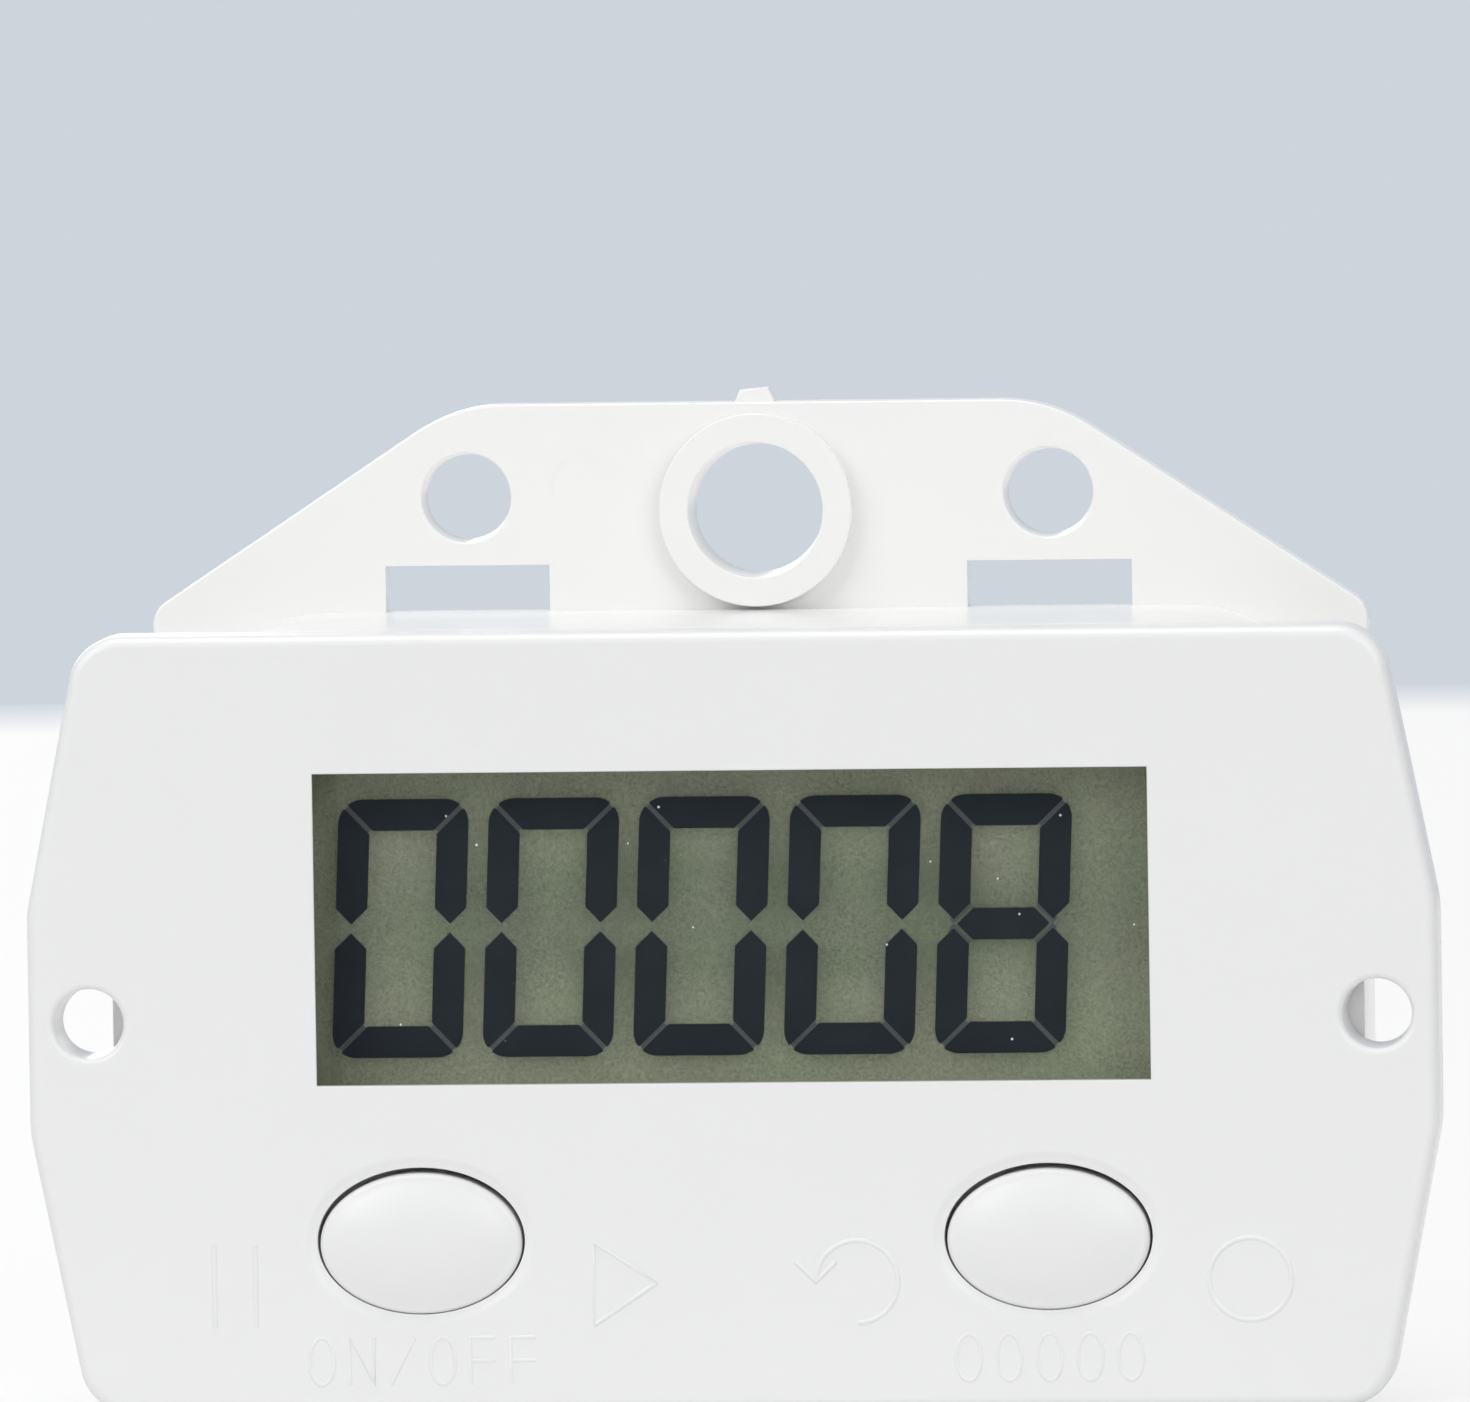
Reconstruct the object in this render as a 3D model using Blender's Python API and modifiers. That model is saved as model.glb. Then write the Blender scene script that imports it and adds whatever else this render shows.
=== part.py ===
"""Magnetic induction counter: a small white two-part housing with a five-digit display and two keys.

The front cover carries the display window, the key openings and a mounting hole in each side ear. The back
shell carries the trapezoid fixing flange with its ring, holes and slots, the screw posts and the pocket of
the button cell, which a bayonet cap closes. Metres, X to the right, Y towards the back, Z up. The counter
stands on Z = 0, and its depths are counted from the face of the cover.
"""

import math

import bmesh
import bpy
from mathutils import Matrix

# Front cover
COVER_WIDTH = 0.0600
COVER_SIDE_LEAN = 0.00235
COVER_HEIGHT = 0.0331
COVER_STRAIGHT = 0.0093
COVER_CORNER_RADIUS = 0.00225
COVER_SIDE_RADIUS = 0.0050
COVER_PLATE = 0.0022
COVER_RIM = 0.0028
COVER_EDGE_RADIUS = 0.00035
TONGUE_WALL = 0.0009
TONGUE_HEIGHT = 0.0012
TONGUE_CLEARANCE = 0.00015

# Window and display
WINDOW_FROM_SIDE = 0.0122
WINDOW_FROM_TOP = 0.00585
WINDOW_FROM_BOTTOM = 0.01405
POLARIZER_MARGIN = 0.0004
POLARIZER_THICKNESS = 0.0002
GLASS_MARGIN = 0.0007
GLASS_THICKNESS = 0.0007
GLASS_LEDGE = 0.0013
REFLECTOR_THICKNESS = 0.00025
REFLECTOR_INSET = 0.0001
LCD_SEAT = 0.0001
BOND_GAP = 0.00005
ZEBRA_HEIGHT = 0.0030
ZEBRA_THICKNESS = 0.0010
ZEBRA_END_INSET = 0.0003
HOLDER_CLEARANCE = 0.00015
HOLDER_WALL = 0.0007
HOLDER_SHELF = 0.0008
LUG_SIZE = 0.0024
LUG_THICKNESS = 0.0016
LUG_ROOT = 0.0003
PIN_DIAMETER = 0.0012
PIN_PROUD = 0.0004

# Keys and their switches
KEY_FROM_SIDE = 0.01665
KEY_FROM_BOTTOM = 0.0073
KEY_HOLE_WIDTH = 0.00885
KEY_HOLE_HEIGHT = 0.00625
KEY_CLEARANCE = 0.00018
KEY_DOME_RISE = 0.00060
KEY_EDGE_SINK = 0.00005
KEY_EDGE_RADIUS = 0.00030
KEY_RIM_WIDTH = 0.00075
KEY_RIM_THICKNESS = 0.0008
KEY_RIM_GAP = 0.0001
KEY_SKIN = 0.0010
KEY_STEM_DIAMETER = 0.0032
KEY_STEM_GAP = 0.0001
KEY_TRAVEL = 0.0005
DISH_WIDTH = 0.00045
DISH_DEPTH = 0.00012
SWITCH_SIZE = 0.0060
SWITCH_HEIGHT = 0.00205
SWITCH_EDGE = 0.0002
PLUNGER_DIAMETER = 0.0035
PLUNGER_PROUD = 0.0008
PLUNGER_HOLD = 0.0008
PLUNGER_CLEARANCE = 0.00015

# Side ears of the cover
EAR_OVERHANG = 0.0033
EAR_HOLE_EDGE = 0.0026
EAR_HOLE_DIAMETER = 0.00295
EAR_HOLE_TAPER = 0.00015
EAR_RISE = 0.0001

# Back shell
SHELL_WALL = 0.0015
SHELL_CORNER_RADIUS = 0.0068
SHELL_SIDE_DRAFT = 0.0005
SHELL_EDGE_RADIUS = 0.0004
BACK_WALL = 0.0015
PARTING_GAP = 0.00015

# Fixing flange above the shell
FLANGE_RISE = 0.0089
FLANGE_OVERLAP = 0.0007
FLANGE_TOP_WIDTH = 0.0263
FLANGE_BASE_STEP = 0.0003
FLANGE_TOP_RADIUS = 0.0070
FLANGE_BASE_RADIUS = 0.0012
FLANGE_EDGE_RADIUS = 0.0002
FLANGE_HOLE_SPACING = 0.0251
FLANGE_HOLE_RISE = 0.0049
FLANGE_HOLE_DIAMETER = 0.00385
FLANGE_HOLE_TAPER = 0.00022
SLOT_WIDTH = 0.0071
SLOT_HEIGHT = 0.0020
RING_DIAMETER = 0.0083
RING_RISE = 0.0043
RING_PROUD = 0.0009
RING_BORE = 0.0058
RING_BORE_TAPER = 0.0003
RING_EDGE_RADIUS = 0.00015
GATE_BASE_WIDTH = 0.0016
GATE_TOP_WIDTH = 0.0010
GATE_HEIGHT = 0.0006
GATE_THICKNESS = 0.0011
GATE_ROOT = 0.0004

# Housing screws and their posts
POST_FROM_END = 0.0030
POST_FROM_EDGE = 0.0047
POST_DIAMETER = 0.0054
POST_BORE = 0.0025
COVER_BOSS_DIAMETER = 0.0036
COUNTERBORE_DIAMETER = 0.0042
COUNTERBORE_DEPTH = 0.0060
HOUSING_SCREW_DIAMETER = 0.0020
HOUSING_SCREW_LENGTH = 0.0080
HOUSING_HEAD_DIAMETER = 0.0036
HOUSING_HEAD_HEIGHT = 0.0012
HEAD_EDGE_RADIUS = 0.0004
HEAD_SEAT = 0.0001
THREAD_CLEARANCE = 0.0001
TIP_CLEARANCE = 0.0003
TIP_HEIGHT = 0.0008
TIP_SHARE = 0.35

# Circuit board and what it carries
BOARD_THICKNESS = 0.0012
BOARD_CLEARANCE = 0.0005
BOARD_POST_CLEARANCE = 0.0003
BOARD_SEAT = 0.0001
BOARD_SCREW_DIAMETER = 0.0016
BOARD_SCREW_LENGTH = 0.0050
BOARD_HEAD_DIAMETER = 0.0028
BOARD_HEAD_HEIGHT = 0.0010
BOARD_BOSS_DIAMETER = 0.0032
BOARD_BOSS_FROM_SIDE = 0.0055
BOARD_BOSS_ABOVE_POST = 0.00525
BOARD_BOSS_FROM_BOTTOM = 0.0043
BOARD_HOLE_CLEARANCE = 0.0003
CHIP_WIDTH = 0.0080
CHIP_HEIGHT = 0.0070
CHIP_RISE = 0.0009
CHIP_FROM_POCKET = 0.0030
CHIP_DROP = 0.0006
CRYSTAL_DIAMETER = 0.0020
CRYSTAL_LENGTH = 0.0060
CRYSTAL_EDGE_RADIUS = 0.0003
CRYSTAL_FROM_POCKET = 0.0005
CRYSTAL_LIFT = 0.0060
CAPACITOR_SIZE = (0.0032, 0.0014, 0.0016)
CAPACITOR_FROM_BOSS = 0.0057
CAPACITOR_DROP = 0.0045
RESISTOR_SIZE = (0.0020, 0.0005, 0.00125)
RESISTOR_FROM_BOSS = 0.0042
RESISTOR_PITCH = 0.0027
RESISTOR_BELOW_BOSS = 0.0012
RESISTORS = 3
COMPONENT_EDGE = 0.0001

# Reed switch behind the top edge of the board
REED_DIAMETER = 0.0022
REED_LENGTH = 0.0120
REED_BORE = 0.0014
REED_NECK = 0.0016
REED_NECK_BORE = 0.0007
REED_FROM_EDGE = 0.0021
REED_LEAD_DIAMETER = 0.0005
REED_LEAD_REACH = 0.0022
REED_LEAD_ROOT = 0.0010
REED_BEND_RADIUS = 0.0008
REED_BLADE_THICKNESS = 0.00016
REED_BLADE_WIDTH = 0.0008
REED_BLADE_GAP = 0.0001
REED_BLADE_OVERLAP = 0.0010
REED_END_RADIUS = 0.0004

# Button cell, its contacts, its pocket and the bayonet cap
CELL_DIAMETER = 0.0116
CELL_HEIGHT = 0.0054
CELL_EDGE_RADIUS = 0.0003
CELL_STEP_INSET = 0.0012
CELL_STEP = 0.0003
CELL_GAP = 0.00005
CELL_CAP_GAP = 0.0001
CELL_DROP = 0.0005
POCKET_CLEARANCE = 0.0003
POCKET_WALL = 0.0014
POCKET_FLOOR = 0.0006
POCKET_BOARD_GAP = 0.0003
LEDGE_THICKNESS = 0.0008
BAYONET_GAP = 0.0001
CAP_NECK_CLEARANCE = 0.0003
CAP_NECK_MARGIN = 0.0005
CAP_NECK_WALL = 0.0011
CAP_HEAD_OVERHANG = 0.0013
CAP_HEAD_THICKNESS = 0.0011
CAP_HEAD_CLEARANCE = 0.0003
CAP_EDGE_RADIUS = 0.00025
CAP_FLUSH = 0.00005
CAP_CORE_DEPTH = 0.0010
TAB_REACH = 0.0010
TAB_WIDTH = 0.0030
TAB_THICKNESS = 0.0006
TAB_CLEARANCE = 0.0004
TAB_ROOT = 0.0004
UNDERCUT_WALL = 0.0010
COIN_SLOT_LENGTH = 0.0095
COIN_SLOT_WIDTH = 0.0016
COIN_SLOT_DEPTH = 0.0007
LOCK_TURN = math.radians(45)
CONTACT_THICKNESS = 0.0002
CONTACT_DIAMETER = 0.0060
CONTACT_STUD_DIAMETER = 0.0010
CONTACT_CLEARANCE = 0.00015
STRIP_WIDTH = 0.0022
STRIP_THICKNESS = 0.00025
STRIP_REACH = 0.0042
STRIP_TOUCH_GAP = 0.0001
STRIP_SLOT_CLEARANCE = 0.0002

# Modelling tolerances, facets and overruns
OVERRUN = 0.0010
ROOT = 0.0005
WELD = 0.000001
FLAT_ANGLE = math.radians(1)
SMOOTH_ANGLE = math.radians(35)
ARC_STEP = math.radians(15)
EDGE_SEGMENTS = 3
DOME_SEGMENTS = 4
ROUND_STEPS = 24
LARGE_ROUND_STEPS = 40
SMALL_ROUND_STEPS = 16
WIRE_RESOLUTION = 2

# Depths behind the face, added up from the front to the back
LCD_FRONT = COVER_PLATE + LCD_SEAT
FRONT_GLASS_AT = LCD_FRONT + POLARIZER_THICKNESS + BOND_GAP
REAR_GLASS_AT = FRONT_GLASS_AT + GLASS_THICKNESS + BOND_GAP
REFLECTOR_AT = REAR_GLASS_AT + GLASS_THICKNESS + BOND_GAP
REFLECTOR_BACK = REFLECTOR_AT + REFLECTOR_THICKNESS
BOARD_FRONT = REAR_GLASS_AT + ZEBRA_HEIGHT + BOND_GAP
BOARD_BACK = BOARD_FRONT + BOARD_THICKNESS
POCKET_FRONT = BOARD_BACK + POCKET_BOARD_GAP
FLOOR_BACK = POCKET_FRONT + POCKET_FLOOR
CELL_FRONT = FLOOR_BACK + CELL_GAP + CONTACT_THICKNESS + CELL_GAP
CELL_BACK = CELL_FRONT + CELL_HEIGHT
CAP_FRONT = CELL_BACK + CELL_CAP_GAP
LEDGE_FRONT = CAP_FRONT + TAB_THICKNESS + BAYONET_GAP
LEDGE_BACK = LEDGE_FRONT + LEDGE_THICKNESS
CAP_HEAD_FRONT = LEDGE_BACK + BAYONET_GAP
CAP_BACK = CAP_HEAD_FRONT + CAP_HEAD_THICKNESS
DEPTH = CAP_BACK + CAP_FLUSH
WALL_FRONT = DEPTH - BACK_WALL
SHELL_FRONT = COVER_RIM + PARTING_GAP
TONGUE_BACK = COVER_RIM + TONGUE_HEIGHT

# Places that several pieces share
FACE_Y = (KEY_DOME_RISE - DEPTH) / 2
CENTRE_Z = COVER_HEIGHT / 2
TOP_Z = COVER_HEIGHT
EAR_Z = CENTRE_Z + EAR_RISE
WINDOW_WIDTH = COVER_WIDTH - 2 * WINDOW_FROM_SIDE
WINDOW_TOP = TOP_Z - WINDOW_FROM_TOP
WINDOW_Z = (WINDOW_FROM_BOTTOM + WINDOW_TOP) / 2
KEY_Z = KEY_FROM_BOTTOM
KEY_X = COVER_WIDTH / 2 - KEY_FROM_SIDE
COVER_END_HALF = COVER_WIDTH / 2 - COVER_SIDE_LEAN
SHELL_HALF = COVER_WIDTH / 2 - EAR_OVERHANG
SHELL_END_HALF = COVER_END_HALF - EAR_OVERHANG
POST_X = SHELL_END_HALF - POST_FROM_END
POST_LOW_Z = POST_FROM_EDGE
POST_HIGH_Z = TOP_Z - POST_FROM_EDGE
CELL_Z = CENTRE_Z - CELL_DROP
POCKET_RADIUS = CELL_DIAMETER / 2 + POCKET_CLEARANCE
NECK_RADIUS = CELL_DIAMETER / 2 + CAP_NECK_MARGIN
CAP_HEAD_RADIUS = NECK_RADIUS + CAP_HEAD_OVERHANG
LEDGE_RADIUS = NECK_RADIUS + CAP_NECK_CLEARANCE
TAB_RADIUS = NECK_RADIUS + TAB_REACH
UNDERCUT_RADIUS = TAB_RADIUS + TAB_CLEARANCE
STRIP_Z = CELL_Z + CELL_DIAMETER / 2 + STRIP_TOUCH_GAP + STRIP_THICKNESS / 2
STRIP_BACK = CELL_FRONT + STRIP_REACH
GLASS_BOTTOM = WINDOW_FROM_BOTTOM - GLASS_MARGIN
REAR_GLASS_TOP = WINDOW_TOP + GLASS_MARGIN
FRONT_GLASS_TOP = REAR_GLASS_TOP + GLASS_LEDGE
ZEBRA_Z = (REAR_GLASS_TOP + FRONT_GLASS_TOP) / 2
GLASS_WIDTH = WINDOW_WIDTH + 2 * GLASS_MARGIN
HOLDER_HALF = GLASS_WIDTH / 2 + HOLDER_CLEARANCE + HOLDER_WALL
LUG_X = HOLDER_HALF - LUG_ROOT + LUG_SIZE / 2
BOARD_HALF_HEIGHT = COVER_HEIGHT / 2 - SHELL_WALL - BOARD_CLEARANCE
REED_Z = CENTRE_Z + BOARD_HALF_HEIGHT - REED_FROM_EDGE
REED_DEPTH = BOARD_BACK + BOARD_SEAT + REED_DIAMETER / 2
REED_LEAD_X = REED_LENGTH / 2 + REED_LEAD_REACH
BOARD_BOSS_X = SHELL_HALF - BOARD_BOSS_FROM_SIDE
BOARD_BOSS_Z = POST_LOW_Z + BOARD_BOSS_ABOVE_POST
BOARD_BOSS_PLACES = (
    (BOARD_BOSS_X, BOARD_BOSS_Z),
    (-BOARD_BOSS_X, BOARD_BOSS_Z),
    (0.0, BOARD_BOSS_FROM_BOTTOM),
)
POST_PLACES = (
    (-POST_X, POST_HIGH_Z),
    (POST_X, POST_HIGH_Z),
    (-POST_X, POST_LOW_Z),
    (POST_X, POST_LOW_Z),
)

# Screws seat on the floor of their counterbore or on the board, and their tips set how deep the bosses are
HOUSING_SEAT_DEPTH = DEPTH - COUNTERBORE_DEPTH + HEAD_SEAT
BOARD_SEAT_DEPTH = BOARD_BACK + HEAD_SEAT
POST_FRONT = BOARD_FRONT + BOARD_POST_CLEARANCE

# Red, green, blue, roughness and metallic
FINISHES = {
    "white_housing": (0.83, 0.83, 0.82, 0.28, 0.0),
    "white_key": (0.80, 0.80, 0.79, 0.18, 0.0),
    "clear_film": (0.55, 0.57, 0.50, 0.12, 0.0),
    "clear_glass": (0.80, 0.84, 0.82, 0.05, 0.0),
    "grey_reflector": (0.20, 0.21, 0.14, 0.45, 0.0),
    "holder_white": (0.75, 0.75, 0.73, 0.50, 0.0),
    "zebra_rubber": (0.60, 0.45, 0.46, 0.70, 0.0),
    "board_green": (0.05, 0.22, 0.09, 0.40, 0.0),
    "epoxy_black": (0.02, 0.02, 0.02, 0.35, 0.0),
    "switch_black": (0.03, 0.03, 0.03, 0.45, 0.0),
    "tan_ceramic": (0.50, 0.38, 0.24, 0.50, 0.0),
    "steel": (0.62, 0.62, 0.60, 0.30, 1.0),
    "nickel": (0.70, 0.68, 0.62, 0.25, 1.0),
}


def clear_scene():
    for old in list(bpy.data.objects):
        bpy.data.objects.remove(old, do_unlink=True)


def new_collection(name, hidden=False):
    collection = bpy.data.collections.new(name)
    collection.hide_render = hidden
    bpy.context.scene.collection.children.link(collection)
    return collection


clear_scene()
PARTS = new_collection("Magnetic_induction_counter")
HELPERS = new_collection("Cutters_and_blanks", hidden=True)


def add(name, mesh, helper=False):
    piece = bpy.data.objects.new(name, mesh)
    (HELPERS if helper else PARTS).objects.link(piece)
    if helper:
        piece.hide_render = True
        piece.display_type = "WIRE"
    return piece


def finish(piece, look):
    """Gives the piece a material of its own and smooth shading between its sharp edges."""
    red, green, blue, roughness, metallic = FINISHES[look]
    material = bpy.data.materials.new(piece.name + "_" + look)
    material.use_nodes = True
    shader = material.node_tree.nodes["Principled BSDF"]
    shader.inputs["Base Color"].default_value = (red, green, blue, 1.0)
    shader.inputs["Roughness"].default_value = roughness
    shader.inputs["Metallic"].default_value = metallic
    piece.data.materials.clear()
    piece.data.materials.append(material)
    piece.data.shade_smooth()
    piece.data.set_sharp_from_angle(angle=SMOOTH_ANGLE)
    return piece


def combine(piece, other, operation):
    boolean = piece.modifiers.new(other.name, "BOOLEAN")
    boolean.operation = operation
    boolean.solver = "EXACT"
    boolean.object = other


def join(piece, *blanks):
    for blank in blanks:
        combine(piece, blank, "UNION")


def cut(piece, *cutters):
    for cutter in cutters:
        combine(piece, cutter, "DIFFERENCE")


def mesh_of(source, name):
    """The evaluated mesh of a curve or profile, welded, its flat faces merged, its normals outward."""
    graph = bpy.context.evaluated_depsgraph_get()
    graph.update()
    mesh = bpy.data.meshes.new_from_object(source.evaluated_get(graph))
    mesh.name = name
    shape = bmesh.new()
    shape.from_mesh(mesh)
    bmesh.ops.remove_doubles(shape, verts=shape.verts, dist=WELD)
    bmesh.ops.dissolve_limit(shape, angle_limit=FLAT_ANGLE, verts=shape.verts, edges=shape.edges)
    bmesh.ops.recalc_face_normals(shape, faces=shape.faces)
    shape.to_mesh(mesh)
    shape.free()
    return mesh


def rounded(corners):
    """The points of a closed outline whose corners are (x, z, radius), each rounded by an arc."""
    points = []
    for index, (x, z, radius) in enumerate(corners):
        before_x, before_z = corners[index - 1][:2]
        after_x, after_z = corners[(index + 1) % len(corners)][:2]
        back = math.atan2(before_z - z, before_x - x)
        ahead = math.atan2(after_z - z, after_x - x)
        half = math.remainder(ahead - back, math.tau) / 2
        if not radius:
            points.append((x, z))
            continue
        middle = back + half
        reach = radius / abs(math.sin(half))
        centre_x = x + reach * math.cos(middle)
        centre_z = z + reach * math.sin(middle)
        turn = math.copysign(math.pi / 2 - abs(half), half)
        steps = max(1, math.ceil(2 * abs(turn) / ARC_STEP))
        for step in range(steps + 1):
            angle = middle + math.pi + turn * (1 - 2 * step / steps)
            points.append((centre_x + radius * math.cos(angle), centre_z + radius * math.sin(angle)))
    return points


def inset(corners, distance):
    """A convex outline moved inwards, its corners taken counter-clockwise."""
    lines = []
    for index, (x, z, _) in enumerate(corners):
        next_x, next_z = corners[(index + 1) % len(corners)][:2]
        length = math.hypot(next_x - x, next_z - z)
        along = ((next_x - x) / length, (next_z - z) / length)
        lines.append((x - along[1] * distance, z + along[0] * distance, along))
    moved = []
    for index, (_, _, radius) in enumerate(corners):
        first_x, first_z, first = lines[index - 1]
        second_x, second_z, second = lines[index]
        across = first[0] * second[1] - first[1] * second[0]
        gap_x, gap_z = second_x - first_x, second_z - first_z
        reach = (gap_x * second[1] - gap_z * second[0]) / across
        corner_x = first_x + reach * first[0]
        corner_z = first_z + reach * first[1]
        moved.append((corner_x, corner_z, max(radius - distance, radius / 4)))
    return moved


def mirrored(half):
    """A whole counter-clockwise outline from its right half, which runs from the bottom to the top."""
    return half + [(-x, z, radius) for x, z, radius in reversed(half)]


def prism(name, corners, front, back, helper=False):
    """A flat outline extruded between two depths."""
    curve = bpy.data.curves.new(name, "CURVE")
    curve.dimensions = "2D"
    curve.fill_mode = "BOTH"
    curve.extrude = (back - front) / 2
    points = rounded(corners)
    spline = curve.splines.new("POLY")
    spline.points.add(len(points) - 1)
    for point, (x, z) in zip(spline.points, points):
        point.co = (x, z, 0.0, 1.0)
    spline.use_cyclic_u = True
    outline = bpy.data.objects.new(name + "_outline", curve)
    HELPERS.objects.link(outline)
    outline.location = (0.0, FACE_Y + (front + back) / 2, 0.0)
    outline.rotation_euler = (math.pi / 2, 0.0, 0.0)
    solid = add(name, mesh_of(outline, name), helper)
    solid.matrix_world = outline.matrix_world.copy()
    solid.location = outline.location
    solid.rotation_euler = outline.rotation_euler
    bpy.data.objects.remove(outline)
    return solid


def narrow_back(solid, share):
    """Draws the back end of a prism in towards X = 0, as the draft of a moulding does."""
    for vertex in solid.data.vertices:
        if vertex.co.z < 0:
            vertex.co.x *= share


def round_rim(solid, radius, front=True, back=False):
    """Rounds the edge between a prism's end and its sides."""
    shape = bmesh.new()
    shape.from_mesh(solid.data)
    weights = shape.edges.layers.float.new("bevel_weight_edge")
    for edge in shape.edges:
        at_front = all(vertex.co.z > 0 for vertex in edge.verts)
        at_back = all(vertex.co.z < 0 for vertex in edge.verts)
        if (at_front and front) or (at_back and back):
            edge[weights] = 1.0
    shape.to_mesh(solid.data)
    shape.free()
    bevel = solid.modifiers.new("Edge", "BEVEL")
    bevel.limit_method = "WEIGHT"
    bevel.width = radius
    bevel.segments = EDGE_SEGMENTS
    return solid


TURNS = {"Y": (math.pi / 2, 0.0, 0.0), "X": (0.0, -math.pi / 2, 0.0)}


def turned(name, profile, origin, steps=ROUND_STEPS, aspect=1.0, axis="Y", hollow=False, helper=False):
    """A turned solid. The profile is (radius, distance along the axis) from one end to the other."""
    start = profile[0][1]
    points = [(radius, 0.0, start - along) for radius, along in profile]
    edges = [(index, index + 1) for index in range(len(points) - 1)]
    if hollow:
        edges.append((len(points) - 1, 0))
    mesh = bpy.data.meshes.new(name + "_profile")
    mesh.from_pydata(points, edges, [])
    spinner = bpy.data.objects.new(name + "_profile", mesh)
    HELPERS.objects.link(spinner)
    screw = spinner.modifiers.new("Screw", "SCREW")
    screw.axis = "Z"
    screw.steps = steps
    screw.render_steps = steps
    screw.use_merge_vertices = True
    screw.merge_threshold = WELD
    solid = add(name, mesh_of(spinner, name), helper)
    solid.data.transform(Matrix.Diagonal((aspect, 1.0, 1.0, 1.0)))
    bpy.data.objects.remove(spinner)
    offset = {"Y": (0.0, start, 0.0), "X": (start, 0.0, 0.0)}[axis]
    solid.location = [place + shift for place, shift in zip(origin, offset)]
    solid.rotation_euler = TURNS[axis]
    return solid


def on_axis(x, z):
    """The origin of a turned piece whose distances are depths behind the face."""
    return (x, FACE_Y, z)


def quarter_out(radius, along, edge):
    """The rounded edge of a turned profile on its way from the first end face out to the side."""
    angles = [math.pi / 2 * step / EDGE_SEGMENTS for step in range(EDGE_SEGMENTS + 1)]
    return [
        (radius - edge * (1 - math.sin(angle)), along + edge * (1 - math.cos(angle)))
        for angle in angles
    ]


def quarter_in(radius, along, edge):
    """The rounded edge of a turned profile on its way from the side in to the last end face."""
    return [(rim, 2 * along - depth) for rim, depth in reversed(quarter_out(radius, along, edge))]


def rod(name, radius, front, back, place, steps=ROUND_STEPS, helper=False):
    """A plain round rod between two depths."""
    profile = [(0.0, front), (radius, front), (radius, back), (0.0, back)]
    return turned(name, profile, on_axis(*place), steps=steps, helper=helper)


def wire(name, points, diameter, helper=False):
    """A round wire through (x, depth, z) points, as a closed mesh."""
    curve = bpy.data.curves.new(name, "CURVE")
    curve.dimensions = "3D"
    curve.bevel_depth = diameter / 2
    curve.bevel_resolution = WIRE_RESOLUTION
    curve.use_fill_caps = True
    spline = curve.splines.new("POLY")
    spline.points.add(len(points) - 1)
    for point, (x, depth, z) in zip(spline.points, points):
        point.co = (x, FACE_Y + depth, z, 1.0)
    path = bpy.data.objects.new(name + "_path", curve)
    HELPERS.objects.link(path)
    solid = add(name, mesh_of(path, name), helper)
    solid.matrix_world = path.matrix_world.copy()
    bpy.data.objects.remove(path)
    return solid


def block(name, centre, size, angle=0.0, edge=0.0, helper=False):
    """A box turned by an angle about Y, with its edges rounded where an edge radius is given."""
    mesh = bpy.data.meshes.new(name)
    shape = bmesh.new()
    bmesh.ops.create_cube(shape, size=1.0, matrix=Matrix.Diagonal((*size, 1.0)))
    shape.to_mesh(mesh)
    shape.free()
    solid = add(name, mesh, helper)
    solid.location = (centre[0], FACE_Y + centre[1], centre[2])
    solid.rotation_euler = (0.0, angle, 0.0)
    if edge:
        bevel = solid.modifiers.new("Edge", "BEVEL")
        bevel.width = edge
        bevel.segments = 1
    return solid


def slab(name, half_width, bottom, top, front, back, edge=0.0, helper=False):
    """A box between two depths, centred on X = 0."""
    centre = (0.0, (front + back) / 2, (bottom + top) / 2)
    return block(name, centre, (2 * half_width, back - front, top - bottom), edge=edge, helper=helper)


def tapered_cutter(name, diameter, taper, front, back, place):
    """Cuts a round hole between two depths that narrows by the taper from its front to its back."""
    run = back - front
    slope = taper / 2 / run
    wide = diameter / 2 + slope * OVERRUN
    narrow = diameter / 2 - slope * (run + OVERRUN)
    start = front - OVERRUN
    end = back + OVERRUN
    profile = [(0.0, start), (wide, start), (narrow, end), (0.0, end)]
    return turned(name, profile, on_axis(*place), steps=LARGE_ROUND_STEPS, helper=True)


def side_shape(end_half, half, corner_radius):
    """The eight-cornered outline of the cover and the shell, widest along its straight middle."""
    low = EAR_Z - COVER_STRAIGHT / 2
    high = EAR_Z + COVER_STRAIGHT / 2
    return mirrored([
        (end_half, 0.0, corner_radius),
        (half, low, COVER_SIDE_RADIUS),
        (half, high, COVER_SIDE_RADIUS),
        (end_half, TOP_Z, corner_radius),
    ])


def cover_outline():
    return side_shape(COVER_END_HALF, COVER_WIDTH / 2, COVER_CORNER_RADIUS)


def shell_outline():
    return side_shape(SHELL_END_HALF, SHELL_HALF, SHELL_CORNER_RADIUS)


def key_cutter(name, x):
    """Cuts a key's oval opening through the cover, with the shallow dished ring round it."""
    radius = KEY_HOLE_HEIGHT / 2
    back = COVER_PLATE + OVERRUN
    profile = [
        (0.0, -DISH_DEPTH),
        (radius + 2 * DISH_WIDTH, -DISH_DEPTH),
        (radius, DISH_DEPTH),
        (radius, back),
        (0.0, back),
    ]
    aspect = KEY_HOLE_WIDTH / KEY_HOLE_HEIGHT
    return turned(name, profile, on_axis(x, KEY_Z), LARGE_ROUND_STEPS, aspect, helper=True)


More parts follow.
